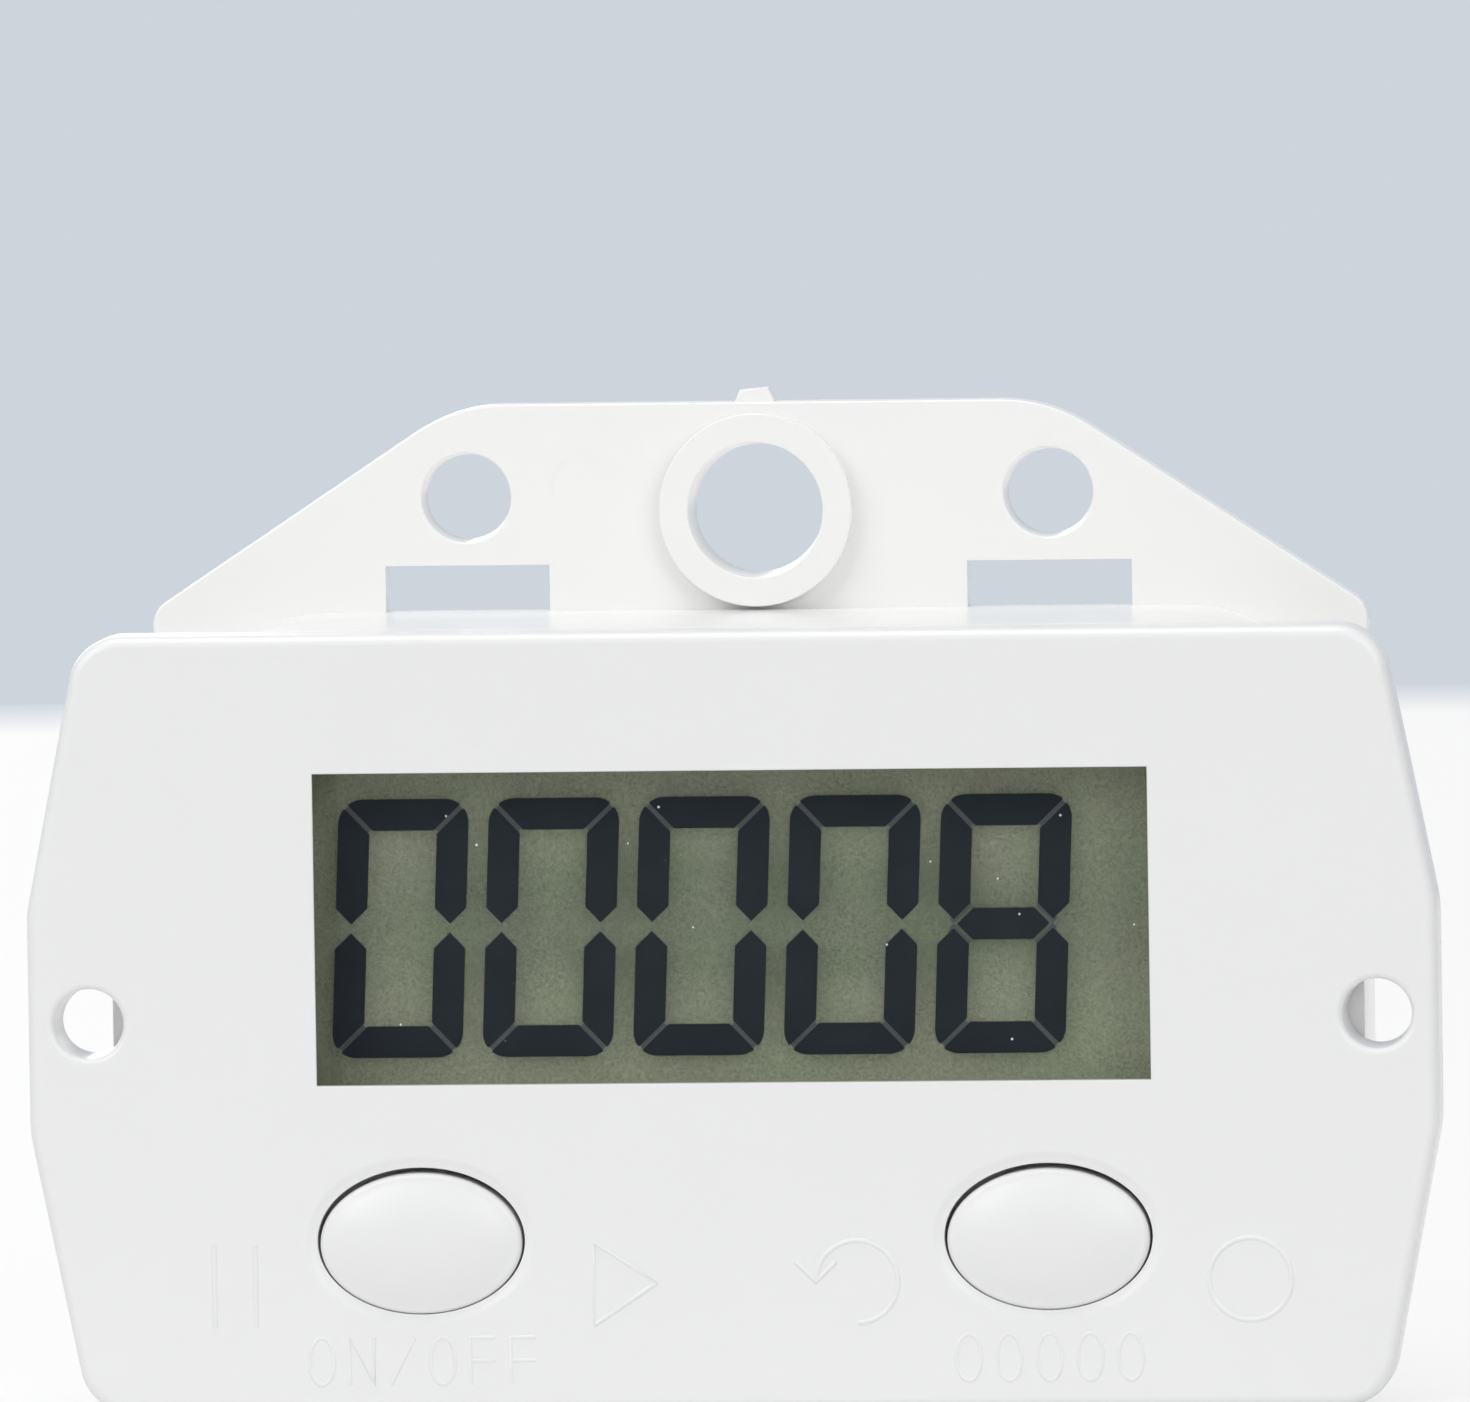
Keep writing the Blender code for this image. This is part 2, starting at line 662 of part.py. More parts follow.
def screw_boss(cover, name, place, diameter, screw_diameter, back, tip):
    """A boss on the back of the cover, bored from its end to just past the tip of its screw."""
    join(cover, rod(name, diameter / 2, COVER_PLATE - ROOT, back, place, helper=True))
    bore = screw_diameter / 2 + THREAD_CLEARANCE
    cut(cover, rod(name + "_bore", bore, tip - TIP_CLEARANCE, back + OVERRUN, place, helper=True))


def front_cover():
    cover = prism("front_cover", cover_outline(), 0.0, COVER_RIM)
    round_rim(cover, COVER_EDGE_RADIUS)
    tongue_inset = SHELL_WALL + TONGUE_CLEARANCE
    tongue_outline = inset(shell_outline(), tongue_inset)
    tongue = prism("cover_tongue", tongue_outline, COVER_RIM - ROOT, TONGUE_BACK, True)
    hollow_outline = inset(shell_outline(), tongue_inset + TONGUE_WALL)
    hollow = prism("cover_hollow", hollow_outline, COVER_PLATE, TONGUE_BACK + OVERRUN, True)
    join(cover, tongue)
    cut(cover, hollow)

    half = WINDOW_WIDTH / 2
    back = COVER_PLATE + OVERRUN
    window = slab("window_cutter", half, WINDOW_FROM_BOTTOM, WINDOW_TOP, -OVERRUN, back, helper=True)
    cut(cover, window)
    for side, x in (("left", -1), ("right", 1)):
        cut(cover, key_cutter(side + "_key_cutter", x * KEY_X))
        place = (x * (COVER_WIDTH / 2 - EAR_HOLE_EDGE), EAR_Z)
        name = side + "_ear_cutter"
        cut(cover, tapered_cutter(name, EAR_HOLE_DIAMETER, EAR_HOLE_TAPER, 0.0, COVER_RIM, place))

    tip = HOUSING_SEAT_DEPTH - HOUSING_SCREW_LENGTH
    for index, place in enumerate(POST_PLACES, start=1):
        back = POST_FRONT - PARTING_GAP
        name = f"post_boss_{index}"
        screw_boss(cover, name, place, COVER_BOSS_DIAMETER, HOUSING_SCREW_DIAMETER, back, tip)
    tip = BOARD_SEAT_DEPTH - BOARD_SCREW_LENGTH
    for index, place in enumerate(BOARD_BOSS_PLACES, start=1):
        back = BOARD_FRONT - BOARD_SEAT
        name = f"board_boss_{index}"
        screw_boss(cover, name, place, BOARD_BOSS_DIAMETER, BOARD_SCREW_DIAMETER, back, tip)
    return finish(cover, "white_housing")


def fixing_flange():
    """The plate above the shell: a trapezoid with rounded shoulders, a ring and the remains of its gate."""
    base_half = SHELL_HALF - SHELL_SIDE_DRAFT
    top = TOP_Z + FLANGE_RISE
    outline = mirrored([
        (base_half, TOP_Z - FLANGE_OVERLAP, 0.0),
        (base_half, TOP_Z + FLANGE_BASE_STEP, FLANGE_BASE_RADIUS),
        (FLANGE_TOP_WIDTH / 2, top, FLANGE_TOP_RADIUS),
    ])
    flange = round_rim(prism("flange_blank", outline, WALL_FRONT, DEPTH, True), FLANGE_EDGE_RADIUS)

    ring_front = WALL_FRONT - RING_PROUD
    ring_back = WALL_FRONT + ROOT
    ring_profile = [(0.0, ring_front)]
    ring_profile += quarter_out(RING_DIAMETER / 2, ring_front, RING_EDGE_RADIUS)
    ring_profile += [(RING_DIAMETER / 2, ring_back), (0.0, ring_back)]
    place = on_axis(0.0, TOP_Z + RING_RISE)
    ring = turned("ring_blank", ring_profile, place, LARGE_ROUND_STEPS, helper=True)

    gate_outline = mirrored([
        (GATE_BASE_WIDTH / 2, top - GATE_ROOT, 0.0),
        (GATE_TOP_WIDTH / 2, top + GATE_HEIGHT, 0.0),
    ])
    gate_front = (WALL_FRONT + DEPTH - GATE_THICKNESS) / 2
    gate = prism("gate_blank", gate_outline, gate_front, gate_front + GATE_THICKNESS, True)
    return flange, ring, gate


def flange_cutters():
    """The openings of the flange: the ring's bore, two round holes and two slots along the shell's top."""
    place = (0.0, TOP_Z + RING_RISE)
    ring_front = WALL_FRONT - RING_PROUD
    yield tapered_cutter("ring_cutter", RING_BORE, RING_BORE_TAPER, ring_front, DEPTH, place)
    for side, sign in (("left", -1), ("right", 1)):
        x = sign * FLANGE_HOLE_SPACING / 2
        place = (x, TOP_Z + FLANGE_HOLE_RISE)
        name = side + "_flange_hole_cutter"
        yield tapered_cutter(name, FLANGE_HOLE_DIAMETER, FLANGE_HOLE_TAPER, WALL_FRONT, DEPTH, place)
        slot_centre = (x, (WALL_FRONT + DEPTH) / 2, TOP_Z + SLOT_HEIGHT / 2)
        slot_size = (SLOT_WIDTH, BACK_WALL + 2 * OVERRUN, SLOT_HEIGHT)
        yield block(side + "_slot_cutter", slot_centre, slot_size, helper=True)


def pocket_blanks():
    """The wall round the button cell and the thicker wall round the bayonet."""
    place = (0.0, CELL_Z)
    back = WALL_FRONT + ROOT
    radius = POCKET_RADIUS + POCKET_WALL
    yield rod("pocket_blank", radius, POCKET_FRONT, back, place, LARGE_ROUND_STEPS, True)
    radius = UNDERCUT_RADIUS + UNDERCUT_WALL
    front = CAP_FRONT - BAYONET_GAP - LEDGE_THICKNESS
    yield rod("bayonet_blank", radius, front, back, place, LARGE_ROUND_STEPS, True)


def pocket_cutters():
    """The pocket with its undercut and recess, the tab notches, and the ways of the two contacts."""
    recess = CAP_HEAD_RADIUS + CAP_HEAD_CLEARANCE
    undercut_front = CAP_FRONT - BAYONET_GAP
    profile = [
        (0.0, FLOOR_BACK),
        (POCKET_RADIUS, FLOOR_BACK),
        (POCKET_RADIUS, undercut_front),
        (UNDERCUT_RADIUS, undercut_front),
        (UNDERCUT_RADIUS, LEDGE_FRONT),
        (LEDGE_RADIUS, LEDGE_FRONT),
        (LEDGE_RADIUS, LEDGE_BACK),
        (recess, LEDGE_BACK),
        (recess, DEPTH + OVERRUN),
        (0.0, DEPTH + OVERRUN),
    ]
    yield turned("pocket_cutter", profile, on_axis(0.0, CELL_Z), LARGE_ROUND_STEPS, helper=True)
    notch_size = (2 * UNDERCUT_RADIUS, LEDGE_THICKNESS + 2 * TAB_ROOT, TAB_WIDTH + 2 * TAB_CLEARANCE)
    notch_centre = (0.0, (LEDGE_FRONT + LEDGE_BACK) / 2, CELL_Z)
    yield block("tab_notch_cutter", notch_centre, notch_size, LOCK_TURN, helper=True)
    front = POCKET_FRONT - ROOT
    hole = CONTACT_STUD_DIAMETER / 2 + CONTACT_CLEARANCE
    yield rod("stud_cutter", hole, front, FLOOR_BACK + ROOT, (0.0, CELL_Z), SMALL_ROUND_STEPS, True)
    half_width = STRIP_WIDTH / 2 + STRIP_SLOT_CLEARANCE
    bottom = CELL_Z + POCKET_RADIUS - POCKET_WALL
    top = STRIP_Z + STRIP_THICKNESS / 2 + STRIP_SLOT_CLEARANCE
    back = STRIP_BACK + STRIP_SLOT_CLEARANCE
    yield slab("strip_groove_cutter", half_width, bottom, top, front, back, helper=True)


def back_shell():
    outline = shell_outline()
    shell = prism("back_shell", outline, SHELL_FRONT, DEPTH)
    narrow_back(shell, (SHELL_HALF - SHELL_SIDE_DRAFT) / SHELL_HALF)
    round_rim(shell, SHELL_EDGE_RADIUS, front=False, back=True)
    cut(shell, prism("shell_cavity", inset(outline, SHELL_WALL), SHELL_FRONT - OVERRUN, WALL_FRONT, True))
    join(shell, *fixing_flange())
    for index, place in enumerate(POST_PLACES, start=1):
        back = WALL_FRONT + ROOT
        join(shell, rod(f"post_{index}", POST_DIAMETER / 2, POST_FRONT, back, place, helper=True))
    join(shell, *pocket_blanks())
    cut(shell, *flange_cutters(), *pocket_cutters())
    counterbore_floor = DEPTH - COUNTERBORE_DEPTH
    for index, place in enumerate(POST_PLACES, start=1):
        bore = POST_BORE / 2
        head = COUNTERBORE_DIAMETER / 2
        profile = [
            (0.0, POST_FRONT - OVERRUN),
            (bore, POST_FRONT - OVERRUN),
            (bore, counterbore_floor),
            (head, counterbore_floor),
            (head, DEPTH + OVERRUN),
            (0.0, DEPTH + OVERRUN),
        ]
        cut(shell, turned(f"post_cutter_{index}", profile, on_axis(*place), helper=True))
    return finish(shell, "white_housing")


def key(name, x):
    """An oval domed key, hollow behind, with a retaining rim behind the cover and a stem in the middle."""
    radius = KEY_HOLE_HEIGHT / 2 - KEY_CLEARANCE
    width = KEY_HOLE_WIDTH / 2 - KEY_CLEARANCE
    rim_front = COVER_PLATE + KEY_RIM_GAP
    rim_back = rim_front + KEY_RIM_THICKNESS
    stem_back = BOARD_FRONT - BOND_GAP - SWITCH_HEIGHT - PLUNGER_PROUD - KEY_STEM_GAP
    edge = quarter_out(radius, KEY_EDGE_SINK, KEY_EDGE_RADIUS)[1:]
    shoulder, shoulder_depth = edge[0]
    dome = []
    for step in range(DOME_SEGMENTS):
        share = step / DOME_SEGMENTS
        dome.append((shoulder * share, (shoulder_depth + KEY_DOME_RISE) * share * share - KEY_DOME_RISE))
    profile = dome + edge
    profile += [
        (radius, rim_front),
        (radius + KEY_RIM_WIDTH, rim_front),
        (radius + KEY_RIM_WIDTH, rim_back),
        (0.0, rim_back),
    ]
    cap = turned(name, profile, on_axis(x, KEY_Z), LARGE_ROUND_STEPS, width / radius)
    hollow_profile = [
        (KEY_STEM_DIAMETER / 2, KEY_SKIN),
        (radius - KEY_SKIN, KEY_SKIN),
        (radius - KEY_SKIN, rim_back + OVERRUN),
        (KEY_STEM_DIAMETER / 2, rim_back + OVERRUN),
    ]
    cut(cap, turned(name + "_hollow", hollow_profile, on_axis(x, KEY_Z), hollow=True, helper=True))
    stem = KEY_STEM_DIAMETER / 2
    join(cap, rod(name + "_stem", stem, rim_back - ROOT, stem_back, (x, KEY_Z), helper=True))
    return finish(cap, "white_key")


def key_switch(name, x):
    """A square tactile switch on the board and the round plunger that its key presses."""
    back = BOARD_FRONT - BOND_GAP
    front = back - SWITCH_HEIGHT
    centre = (x, (front + back) / 2, KEY_Z)
    body = block(name + "_body", centre, (SWITCH_SIZE, SWITCH_HEIGHT, SWITCH_SIZE), edge=SWITCH_EDGE)
    bore = PLUNGER_DIAMETER / 2 + PLUNGER_CLEARANCE
    bore_back = front + PLUNGER_HOLD + KEY_TRAVEL + PLUNGER_CLEARANCE
    cut(body, rod(name + "_bore", bore, front - OVERRUN, bore_back, (x, KEY_Z), helper=True))
    finish(body, "switch_black")
    radius = PLUNGER_DIAMETER / 2
    plunger = rod(name + "_plunger", radius, front - PLUNGER_PROUD, front + PLUNGER_HOLD, (x, KEY_Z))
    finish(plunger, "switch_black")


def circuit_board():
    outline = inset(shell_outline(), SHELL_WALL + BOARD_CLEARANCE)
    board = prism("circuit_board", outline, BOARD_FRONT, BOARD_BACK)
    front = BOARD_FRONT - OVERRUN
    back = BOARD_BACK + OVERRUN
    for index, place in enumerate(POST_PLACES, start=1):
        notch = POST_DIAMETER / 2 + BOARD_POST_CLEARANCE
        cut(board, rod(f"board_notch_{index}", notch, front, back, place, helper=True))
    for index, place in enumerate(BOARD_BOSS_PLACES, start=1):
        hole = (BOARD_SCREW_DIAMETER + BOARD_HOLE_CLEARANCE) / 2
        cut(board, rod(f"board_hole_{index}", hole, front, back, place, helper=True))
    for side, x in (("left", -1), ("right", 1)):
        hole = (PIN_DIAMETER + BOARD_HOLE_CLEARANCE) / 2
        place = (x * LUG_X, WINDOW_Z)
        cut(board, rod(side + "_pin_hole", hole, front, back, place, SMALL_ROUND_STEPS, True))
    return finish(board, "board_green")


def layer(name, look, margin, top, front, thickness):
    """One flat layer of the display, set in by a margin at its sides and its bottom."""
    half_width = GLASS_WIDTH / 2 - margin
    bottom = GLASS_BOTTOM + margin
    return finish(slab(name, half_width, bottom, top, front, front + thickness), look)


def display():
    """The liquid crystal cell between the window and the board: films, glasses and the rubber connector."""
    layer("lcd_front_glass", "clear_glass", 0.0, FRONT_GLASS_TOP, FRONT_GLASS_AT, GLASS_THICKNESS)
    layer("lcd_rear_glass", "clear_glass", 0.0, REAR_GLASS_TOP, REAR_GLASS_AT, GLASS_THICKNESS)
    margin = POLARIZER_MARGIN
    top = REAR_GLASS_TOP - margin
    layer("lcd_front_polarizer", "clear_film", margin, top, LCD_FRONT, POLARIZER_THICKNESS)
    margin = REFLECTOR_INSET
    top = REAR_GLASS_TOP - margin
    layer("lcd_reflector", "grey_reflector", margin, top, REFLECTOR_AT, REFLECTOR_THICKNESS)
    half_width = GLASS_WIDTH / 2 - ZEBRA_END_INSET
    bottom = ZEBRA_Z - ZEBRA_THICKNESS / 2
    top = ZEBRA_Z + ZEBRA_THICKNESS / 2
    back = REAR_GLASS_AT + ZEBRA_HEIGHT
    finish(slab("zebra_connector", half_width, bottom, top, REAR_GLASS_AT, back), "zebra_rubber")


def lcd_holder():
    """The frame that holds the display to the cover, with a shelf behind the glass and pins in the board."""
    half = GLASS_WIDTH / 2 + HOLDER_CLEARANCE
    bottom = GLASS_BOTTOM - HOLDER_CLEARANCE
    top = FRONT_GLASS_TOP + HOLDER_CLEARANCE
    back = BOARD_FRONT - BOND_GAP
    holder = slab("lcd_holder", HOLDER_HALF, bottom - HOLDER_WALL, top + HOLDER_WALL, LCD_FRONT, back)
    for side, x in (("left", -1), ("right", 1)):
        centre = (x * LUG_X, back - LUG_THICKNESS / 2, WINDOW_Z)
        join(holder, block(side + "_lug", centre, (LUG_SIZE, LUG_THICKNESS, LUG_SIZE), helper=True))
        place = (x * LUG_X, WINDOW_Z)
        pin_back = BOARD_BACK + PIN_PROUD
        radius = PIN_DIAMETER / 2
        join(holder, rod(side + "_pin", radius, back - ROOT, pin_back, place, SMALL_ROUND_STEPS, True))
    shelf_front = REFLECTOR_BACK + BOND_GAP
    shelf_back = shelf_front + HOLDER_SHELF
    cut(holder, slab("glass_pocket", half, bottom, top, LCD_FRONT - OVERRUN, shelf_front, helper=True))
    cut(holder, slab("holder_hollow", half, bottom, top, shelf_back, back + OVERRUN, helper=True))
    zebra_half = GLASS_WIDTH / 2 - ZEBRA_END_INSET + HOLDER_CLEARANCE
    reach = ZEBRA_THICKNESS / 2 + HOLDER_CLEARANCE
    front = shelf_front - ROOT
    back = shelf_back + ROOT
    cut(holder, slab("zebra_slot", zebra_half, ZEBRA_Z - reach, ZEBRA_Z + reach, front, back, helper=True))
    return finish(holder, "holder_white")


def components():
    """What sits on the back of the board: the bonded chip, the clock crystal, a capacitor and resistors."""
    seat = BOARD_BACK + BOND_GAP
    profile = [(0.0, seat)] + quarter_in(CHIP_HEIGHT / 2, seat + CHIP_RISE, CHIP_RISE)
    profile.append((0.0, seat + CHIP_RISE))
    pocket = POCKET_RADIUS + POCKET_WALL
    place = on_axis(pocket + CHIP_FROM_POCKET + CHIP_WIDTH / 2, CENTRE_Z - CHIP_DROP)
    finish(turned("chip_epoxy_cap", profile, place, aspect=CHIP_WIDTH / CHIP_HEIGHT), "epoxy_black")

    half = CRYSTAL_LENGTH / 2
    radius = CRYSTAL_DIAMETER / 2
    profile = [(0.0, -half)] + quarter_out(radius, -half, CRYSTAL_EDGE_RADIUS)
    profile += quarter_in(radius, half, CRYSTAL_EDGE_RADIUS) + [(0.0, half)]
    x = -pocket - CRYSTAL_FROM_POCKET - half
    place = (x, FACE_Y + seat + radius, CENTRE_Z + CRYSTAL_LIFT)
    finish(turned("clock_crystal", profile, place, SMALL_ROUND_STEPS, axis="X"), "steel")

    width, thickness, height = CAPACITOR_SIZE
    centre = (CAPACITOR_FROM_BOSS - BOARD_BOSS_X, seat + thickness / 2, CENTRE_Z - CAPACITOR_DROP)
    capacitor = block("capacitor", centre, (width, thickness, height), edge=COMPONENT_EDGE)
    finish(capacitor, "tan_ceramic")
    width, thickness, height = RESISTOR_SIZE
    for index in range(RESISTORS):
        x = BOARD_BOSS_X - RESISTOR_FROM_BOSS - index * RESISTOR_PITCH
        centre = (x, seat + thickness / 2, BOARD_BOSS_Z - RESISTOR_BELOW_BOSS)
        resistor = block(f"resistor_{index + 1}", centre, (width, thickness, height), edge=COMPONENT_EDGE)
        finish(resistor, "epoxy_black")


def reed_switch():
    """A glass reed switch along the top of the board. Its two leads overlap inside without touching."""
    half = REED_LENGTH / 2
    neck_end = half - REED_NECK
    neck = REED_NECK_BORE / 2
    place = (0.0, FACE_Y + REED_DEPTH, REED_Z)
    profile = [(neck, -half)] + quarter_out(REED_DIAMETER / 2, -half, REED_END_RADIUS)
    profile += quarter_in(REED_DIAMETER / 2, half, REED_END_RADIUS)
    bore = REED_BORE / 2
    profile += [(neck, half), (neck, neck_end), (bore, neck_end), (bore, -neck_end), (neck, -neck_end)]
    tube = turned("reed_switch_glass", profile, place, SMALL_ROUND_STEPS, axis="X", hollow=True)
    finish(tube, "clear_glass")

    for side, sign in (("left", -1), ("right", 1)):
        bend_x = REED_LEAD_X - REED_BEND_RADIUS
        bend_depth = REED_DEPTH - REED_BEND_RADIUS
        points = [(sign * (neck_end - REED_LEAD_ROOT), REED_DEPTH, REED_Z)]
        for step in range(EDGE_SEGMENTS + 1):
            angle = math.pi / 2 * step / EDGE_SEGMENTS
            x = bend_x + REED_BEND_RADIUS * math.sin(angle)
            points.append((sign * x, bend_depth + REED_BEND_RADIUS * math.cos(angle), REED_Z))
        points.append((sign * REED_LEAD_X, BOARD_BACK + BOND_GAP, REED_Z))
        lead = wire(f"reed_lead_{side}", points, REED_LEAD_DIAMETER)
        inner = -REED_BLADE_OVERLAP / 2
        middle_x = sign * (inner + neck_end) / 2
        offset = sign * (REED_BLADE_GAP + REED_BLADE_THICKNESS) / 2
        size = (neck_end - inner - REED_LEAD_ROOT / 2, REED_BLADE_THICKNESS, REED_BLADE_WIDTH)
        blade_centre = (middle_x - sign * REED_LEAD_ROOT / 4, REED_DEPTH + offset, REED_Z)
        join(lead, block(f"reed_blade_{side}", blade_centre, size, helper=True))
        finish(lead, "nickel")


def power_supply():
    """The button cell, the contact under it and the spring strip beside it."""
    radius = CELL_DIAMETER / 2
    profile = [(0.0, CELL_FRONT)] + quarter_out(radius - CELL_STEP_INSET, CELL_FRONT, CELL_EDGE_RADIUS)
    profile += quarter_out(radius, CELL_FRONT + CELL_STEP, CELL_EDGE_RADIUS)
    profile += quarter_in(radius, CELL_BACK, CELL_EDGE_RADIUS) + [(0.0, CELL_BACK)]
    finish(turned("button_cell", profile, on_axis(0.0, CELL_Z)), "steel")

    plate_front = FLOOR_BACK + CELL_GAP
    plate_back = plate_front + CONTACT_THICKNESS
    stud = CONTACT_STUD_DIAMETER / 2
    contact_profile = [
        (0.0, BOARD_BACK + BOND_GAP),
        (stud, BOARD_BACK + BOND_GAP),
        (stud, plate_front),
        (CONTACT_DIAMETER / 2, plate_front),
        (CONTACT_DIAMETER / 2, plate_back),
        (0.0, plate_back),
    ]
    finish(turned("battery_contact_negative", contact_profile, on_axis(0.0, CELL_Z)), "nickel")

    front = BOARD_BACK + BOND_GAP
    bottom = STRIP_Z - STRIP_THICKNESS / 2
    top = STRIP_Z + STRIP_THICKNESS / 2
    finish(slab("battery_contact_positive", STRIP_WIDTH / 2, bottom, top, front, STRIP_BACK), "nickel")


def battery_cap():
    """A round cap with a coin slot. Its two tabs lock behind the ledge of the shell after a part turn."""
    head = CAP_HEAD_RADIUS
    profile = [(0.0, CAP_FRONT), (NECK_RADIUS, CAP_FRONT), (NECK_RADIUS, CAP_HEAD_FRONT)]
    profile += [(head, CAP_HEAD_FRONT)] + quarter_in(head, CAP_BACK, CAP_EDGE_RADIUS) + [(0.0, CAP_BACK)]
    cap = turned("battery_cap", profile, on_axis(0.0, CELL_Z), LARGE_ROUND_STEPS)
    tab_centre = (0.0, CAP_FRONT + TAB_THICKNESS / 2, CELL_Z)
    join(cap, block("cap_tabs", tab_centre, (2 * TAB_RADIUS, TAB_THICKNESS, TAB_WIDTH), helper=True))
    core = NECK_RADIUS - CAP_NECK_WALL
    core_back = CAP_FRONT + CAP_CORE_DEPTH
    place = (0.0, CELL_Z)
    cut(cap, rod("cap_core", core, CAP_FRONT - OVERRUN, core_back, place, LARGE_ROUND_STEPS, True))
    bottom = CELL_Z - COIN_SLOT_WIDTH / 2
    top = CELL_Z + COIN_SLOT_WIDTH / 2
    front = CAP_BACK - COIN_SLOT_DEPTH
    cut(cap, slab("coin_slot", COIN_SLOT_LENGTH / 2, bottom, top, front, CAP_BACK + OVERRUN, helper=True))
    return finish(cap, "white_housing")


def screw(name, place, seat, diameter, length, head_diameter, head_height):
    """A pan-head screw driven in from the back, with its head behind the seat."""
    radius = diameter / 2
    tip = seat - length
    profile = [(0.0, tip), (radius * TIP_SHARE, tip), (radius, tip + TIP_HEIGHT), (radius, seat)]
    back = seat + head_height
    profile += [(head_diameter / 2, seat)]
    profile += quarter_in(head_diameter / 2, back, HEAD_EDGE_RADIUS) + [(0.0, back)]
    finish(turned(name, profile, on_axis(*place), SMALL_ROUND_STEPS), "steel")


def screws():
    sizes = (HOUSING_SCREW_DIAMETER, HOUSING_SCREW_LENGTH, HOUSING_HEAD_DIAMETER, HOUSING_HEAD_HEIGHT)
    for index, place in enumerate(POST_PLACES, start=1):
        screw(f"housing_screw_{index}", place, HOUSING_SEAT_DEPTH, *sizes)
    sizes = (BOARD_SCREW_DIAMETER, BOARD_SCREW_LENGTH, BOARD_HEAD_DIAMETER, BOARD_HEAD_HEIGHT)
    for index, place in enumerate(BOARD_BOSS_PLACES, start=1):
        screw(f"board_screw_{index}", place, BOARD_SEAT_DEPTH, *sizes)


front_cover()
back_shell()
for key_name, key_x in (("power", -KEY_X), ("reset", KEY_X)):
    key(key_name + "_button", key_x)
    key_switch(key_name + "_switch", key_x)
circuit_board()
display()
lcd_holder()
components()
reed_switch()
power_supply()
battery_cap()
screws()
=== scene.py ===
"""The looks of the magnetic induction counter: a glossy white housing, its keys, display and screws.

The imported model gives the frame. Fine meshes stand for the pieces that show, and procedural materials finish
every surface. Metres, X to the right, Y towards the back, Z up, depths counted from the face of the cover.
"""

import math

import bmesh
import bpy
from mathutils import Matrix, Vector

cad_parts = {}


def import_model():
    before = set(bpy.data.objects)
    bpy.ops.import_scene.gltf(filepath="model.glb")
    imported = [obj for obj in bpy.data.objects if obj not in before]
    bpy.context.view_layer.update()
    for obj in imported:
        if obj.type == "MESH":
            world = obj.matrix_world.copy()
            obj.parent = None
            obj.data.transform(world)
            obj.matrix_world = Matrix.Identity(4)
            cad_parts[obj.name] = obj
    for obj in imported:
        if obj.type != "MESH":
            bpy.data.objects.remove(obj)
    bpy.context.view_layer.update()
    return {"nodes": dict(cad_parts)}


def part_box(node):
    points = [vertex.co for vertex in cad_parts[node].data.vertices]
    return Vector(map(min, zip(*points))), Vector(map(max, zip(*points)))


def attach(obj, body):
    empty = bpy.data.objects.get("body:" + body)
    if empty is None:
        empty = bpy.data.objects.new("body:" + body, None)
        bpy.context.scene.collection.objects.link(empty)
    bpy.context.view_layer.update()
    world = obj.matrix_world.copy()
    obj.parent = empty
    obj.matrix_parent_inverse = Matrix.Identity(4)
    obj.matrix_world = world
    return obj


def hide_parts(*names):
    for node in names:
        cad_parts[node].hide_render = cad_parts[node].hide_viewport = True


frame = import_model()

# Cover
COVER_SIDE_LEAN = 0.00235
COVER_STRAIGHT = 0.0093
COVER_CORNER_RADIUS = 0.00225
COVER_SIDE_RADIUS = 0.0050
COVER_PLATE = 0.0022
COVER_RIM = 0.0028
COVER_EDGE_RADIUS = 0.0005
TONGUE_WALL = 0.0009
TONGUE_HEIGHT = 0.0012
TONGUE_CLEARANCE = 0.00015
WINDOW_FROM_LEFT = 0.01232
WINDOW_FROM_RIGHT = 0.0122
WINDOW_FROM_TOP = 0.00591
WINDOW_FROM_BOTTOM = 0.01393
WINDOW_RIM = 0.00006
WINDOW_SIDE_DRAFT = 0.00024
WINDOW_BOTTOM_DRAFT = 0.00014
EAR_OVERHANG = 0.0033
EAR_HOLE_EDGE = 0.0026
EAR_HOLE_DIAMETER = 0.00295
EAR_HOLE_TAPER = 0.00015
EAR_HOLE_RIM = 0.0003
EAR_RISE = 0.0001

# Keys
KEY_FROM_SIDE = 0.01665
KEY_FROM_BOTTOM = 0.0073
KEY_HOLE_WIDTH = 0.00885
KEY_HOLE_HEIGHT = 0.00625
KEY_CLEARANCE = 0.00012
KEY_DOME_RISE = 0.0006
KEY_EDGE_SINK = 0.0
KEY_EDGE_RADIUS = 0.0003
KEY_RIM_WIDTH = 0.00075
KEY_RIM_THICKNESS = 0.0008
KEY_RIM_GAP = 0.0001
KEY_SKIN = 0.0010
KEY_STEM_DIAMETER = 0.0032
KEY_OFFSET = (-0.00001, -0.000105)
DISH_WIDTH = 0.00055
DISH_DEPTH = 0.00011
DISH_RIM = 0.00005
DOME_RINGS = 14
DOME_POWER = 2.4

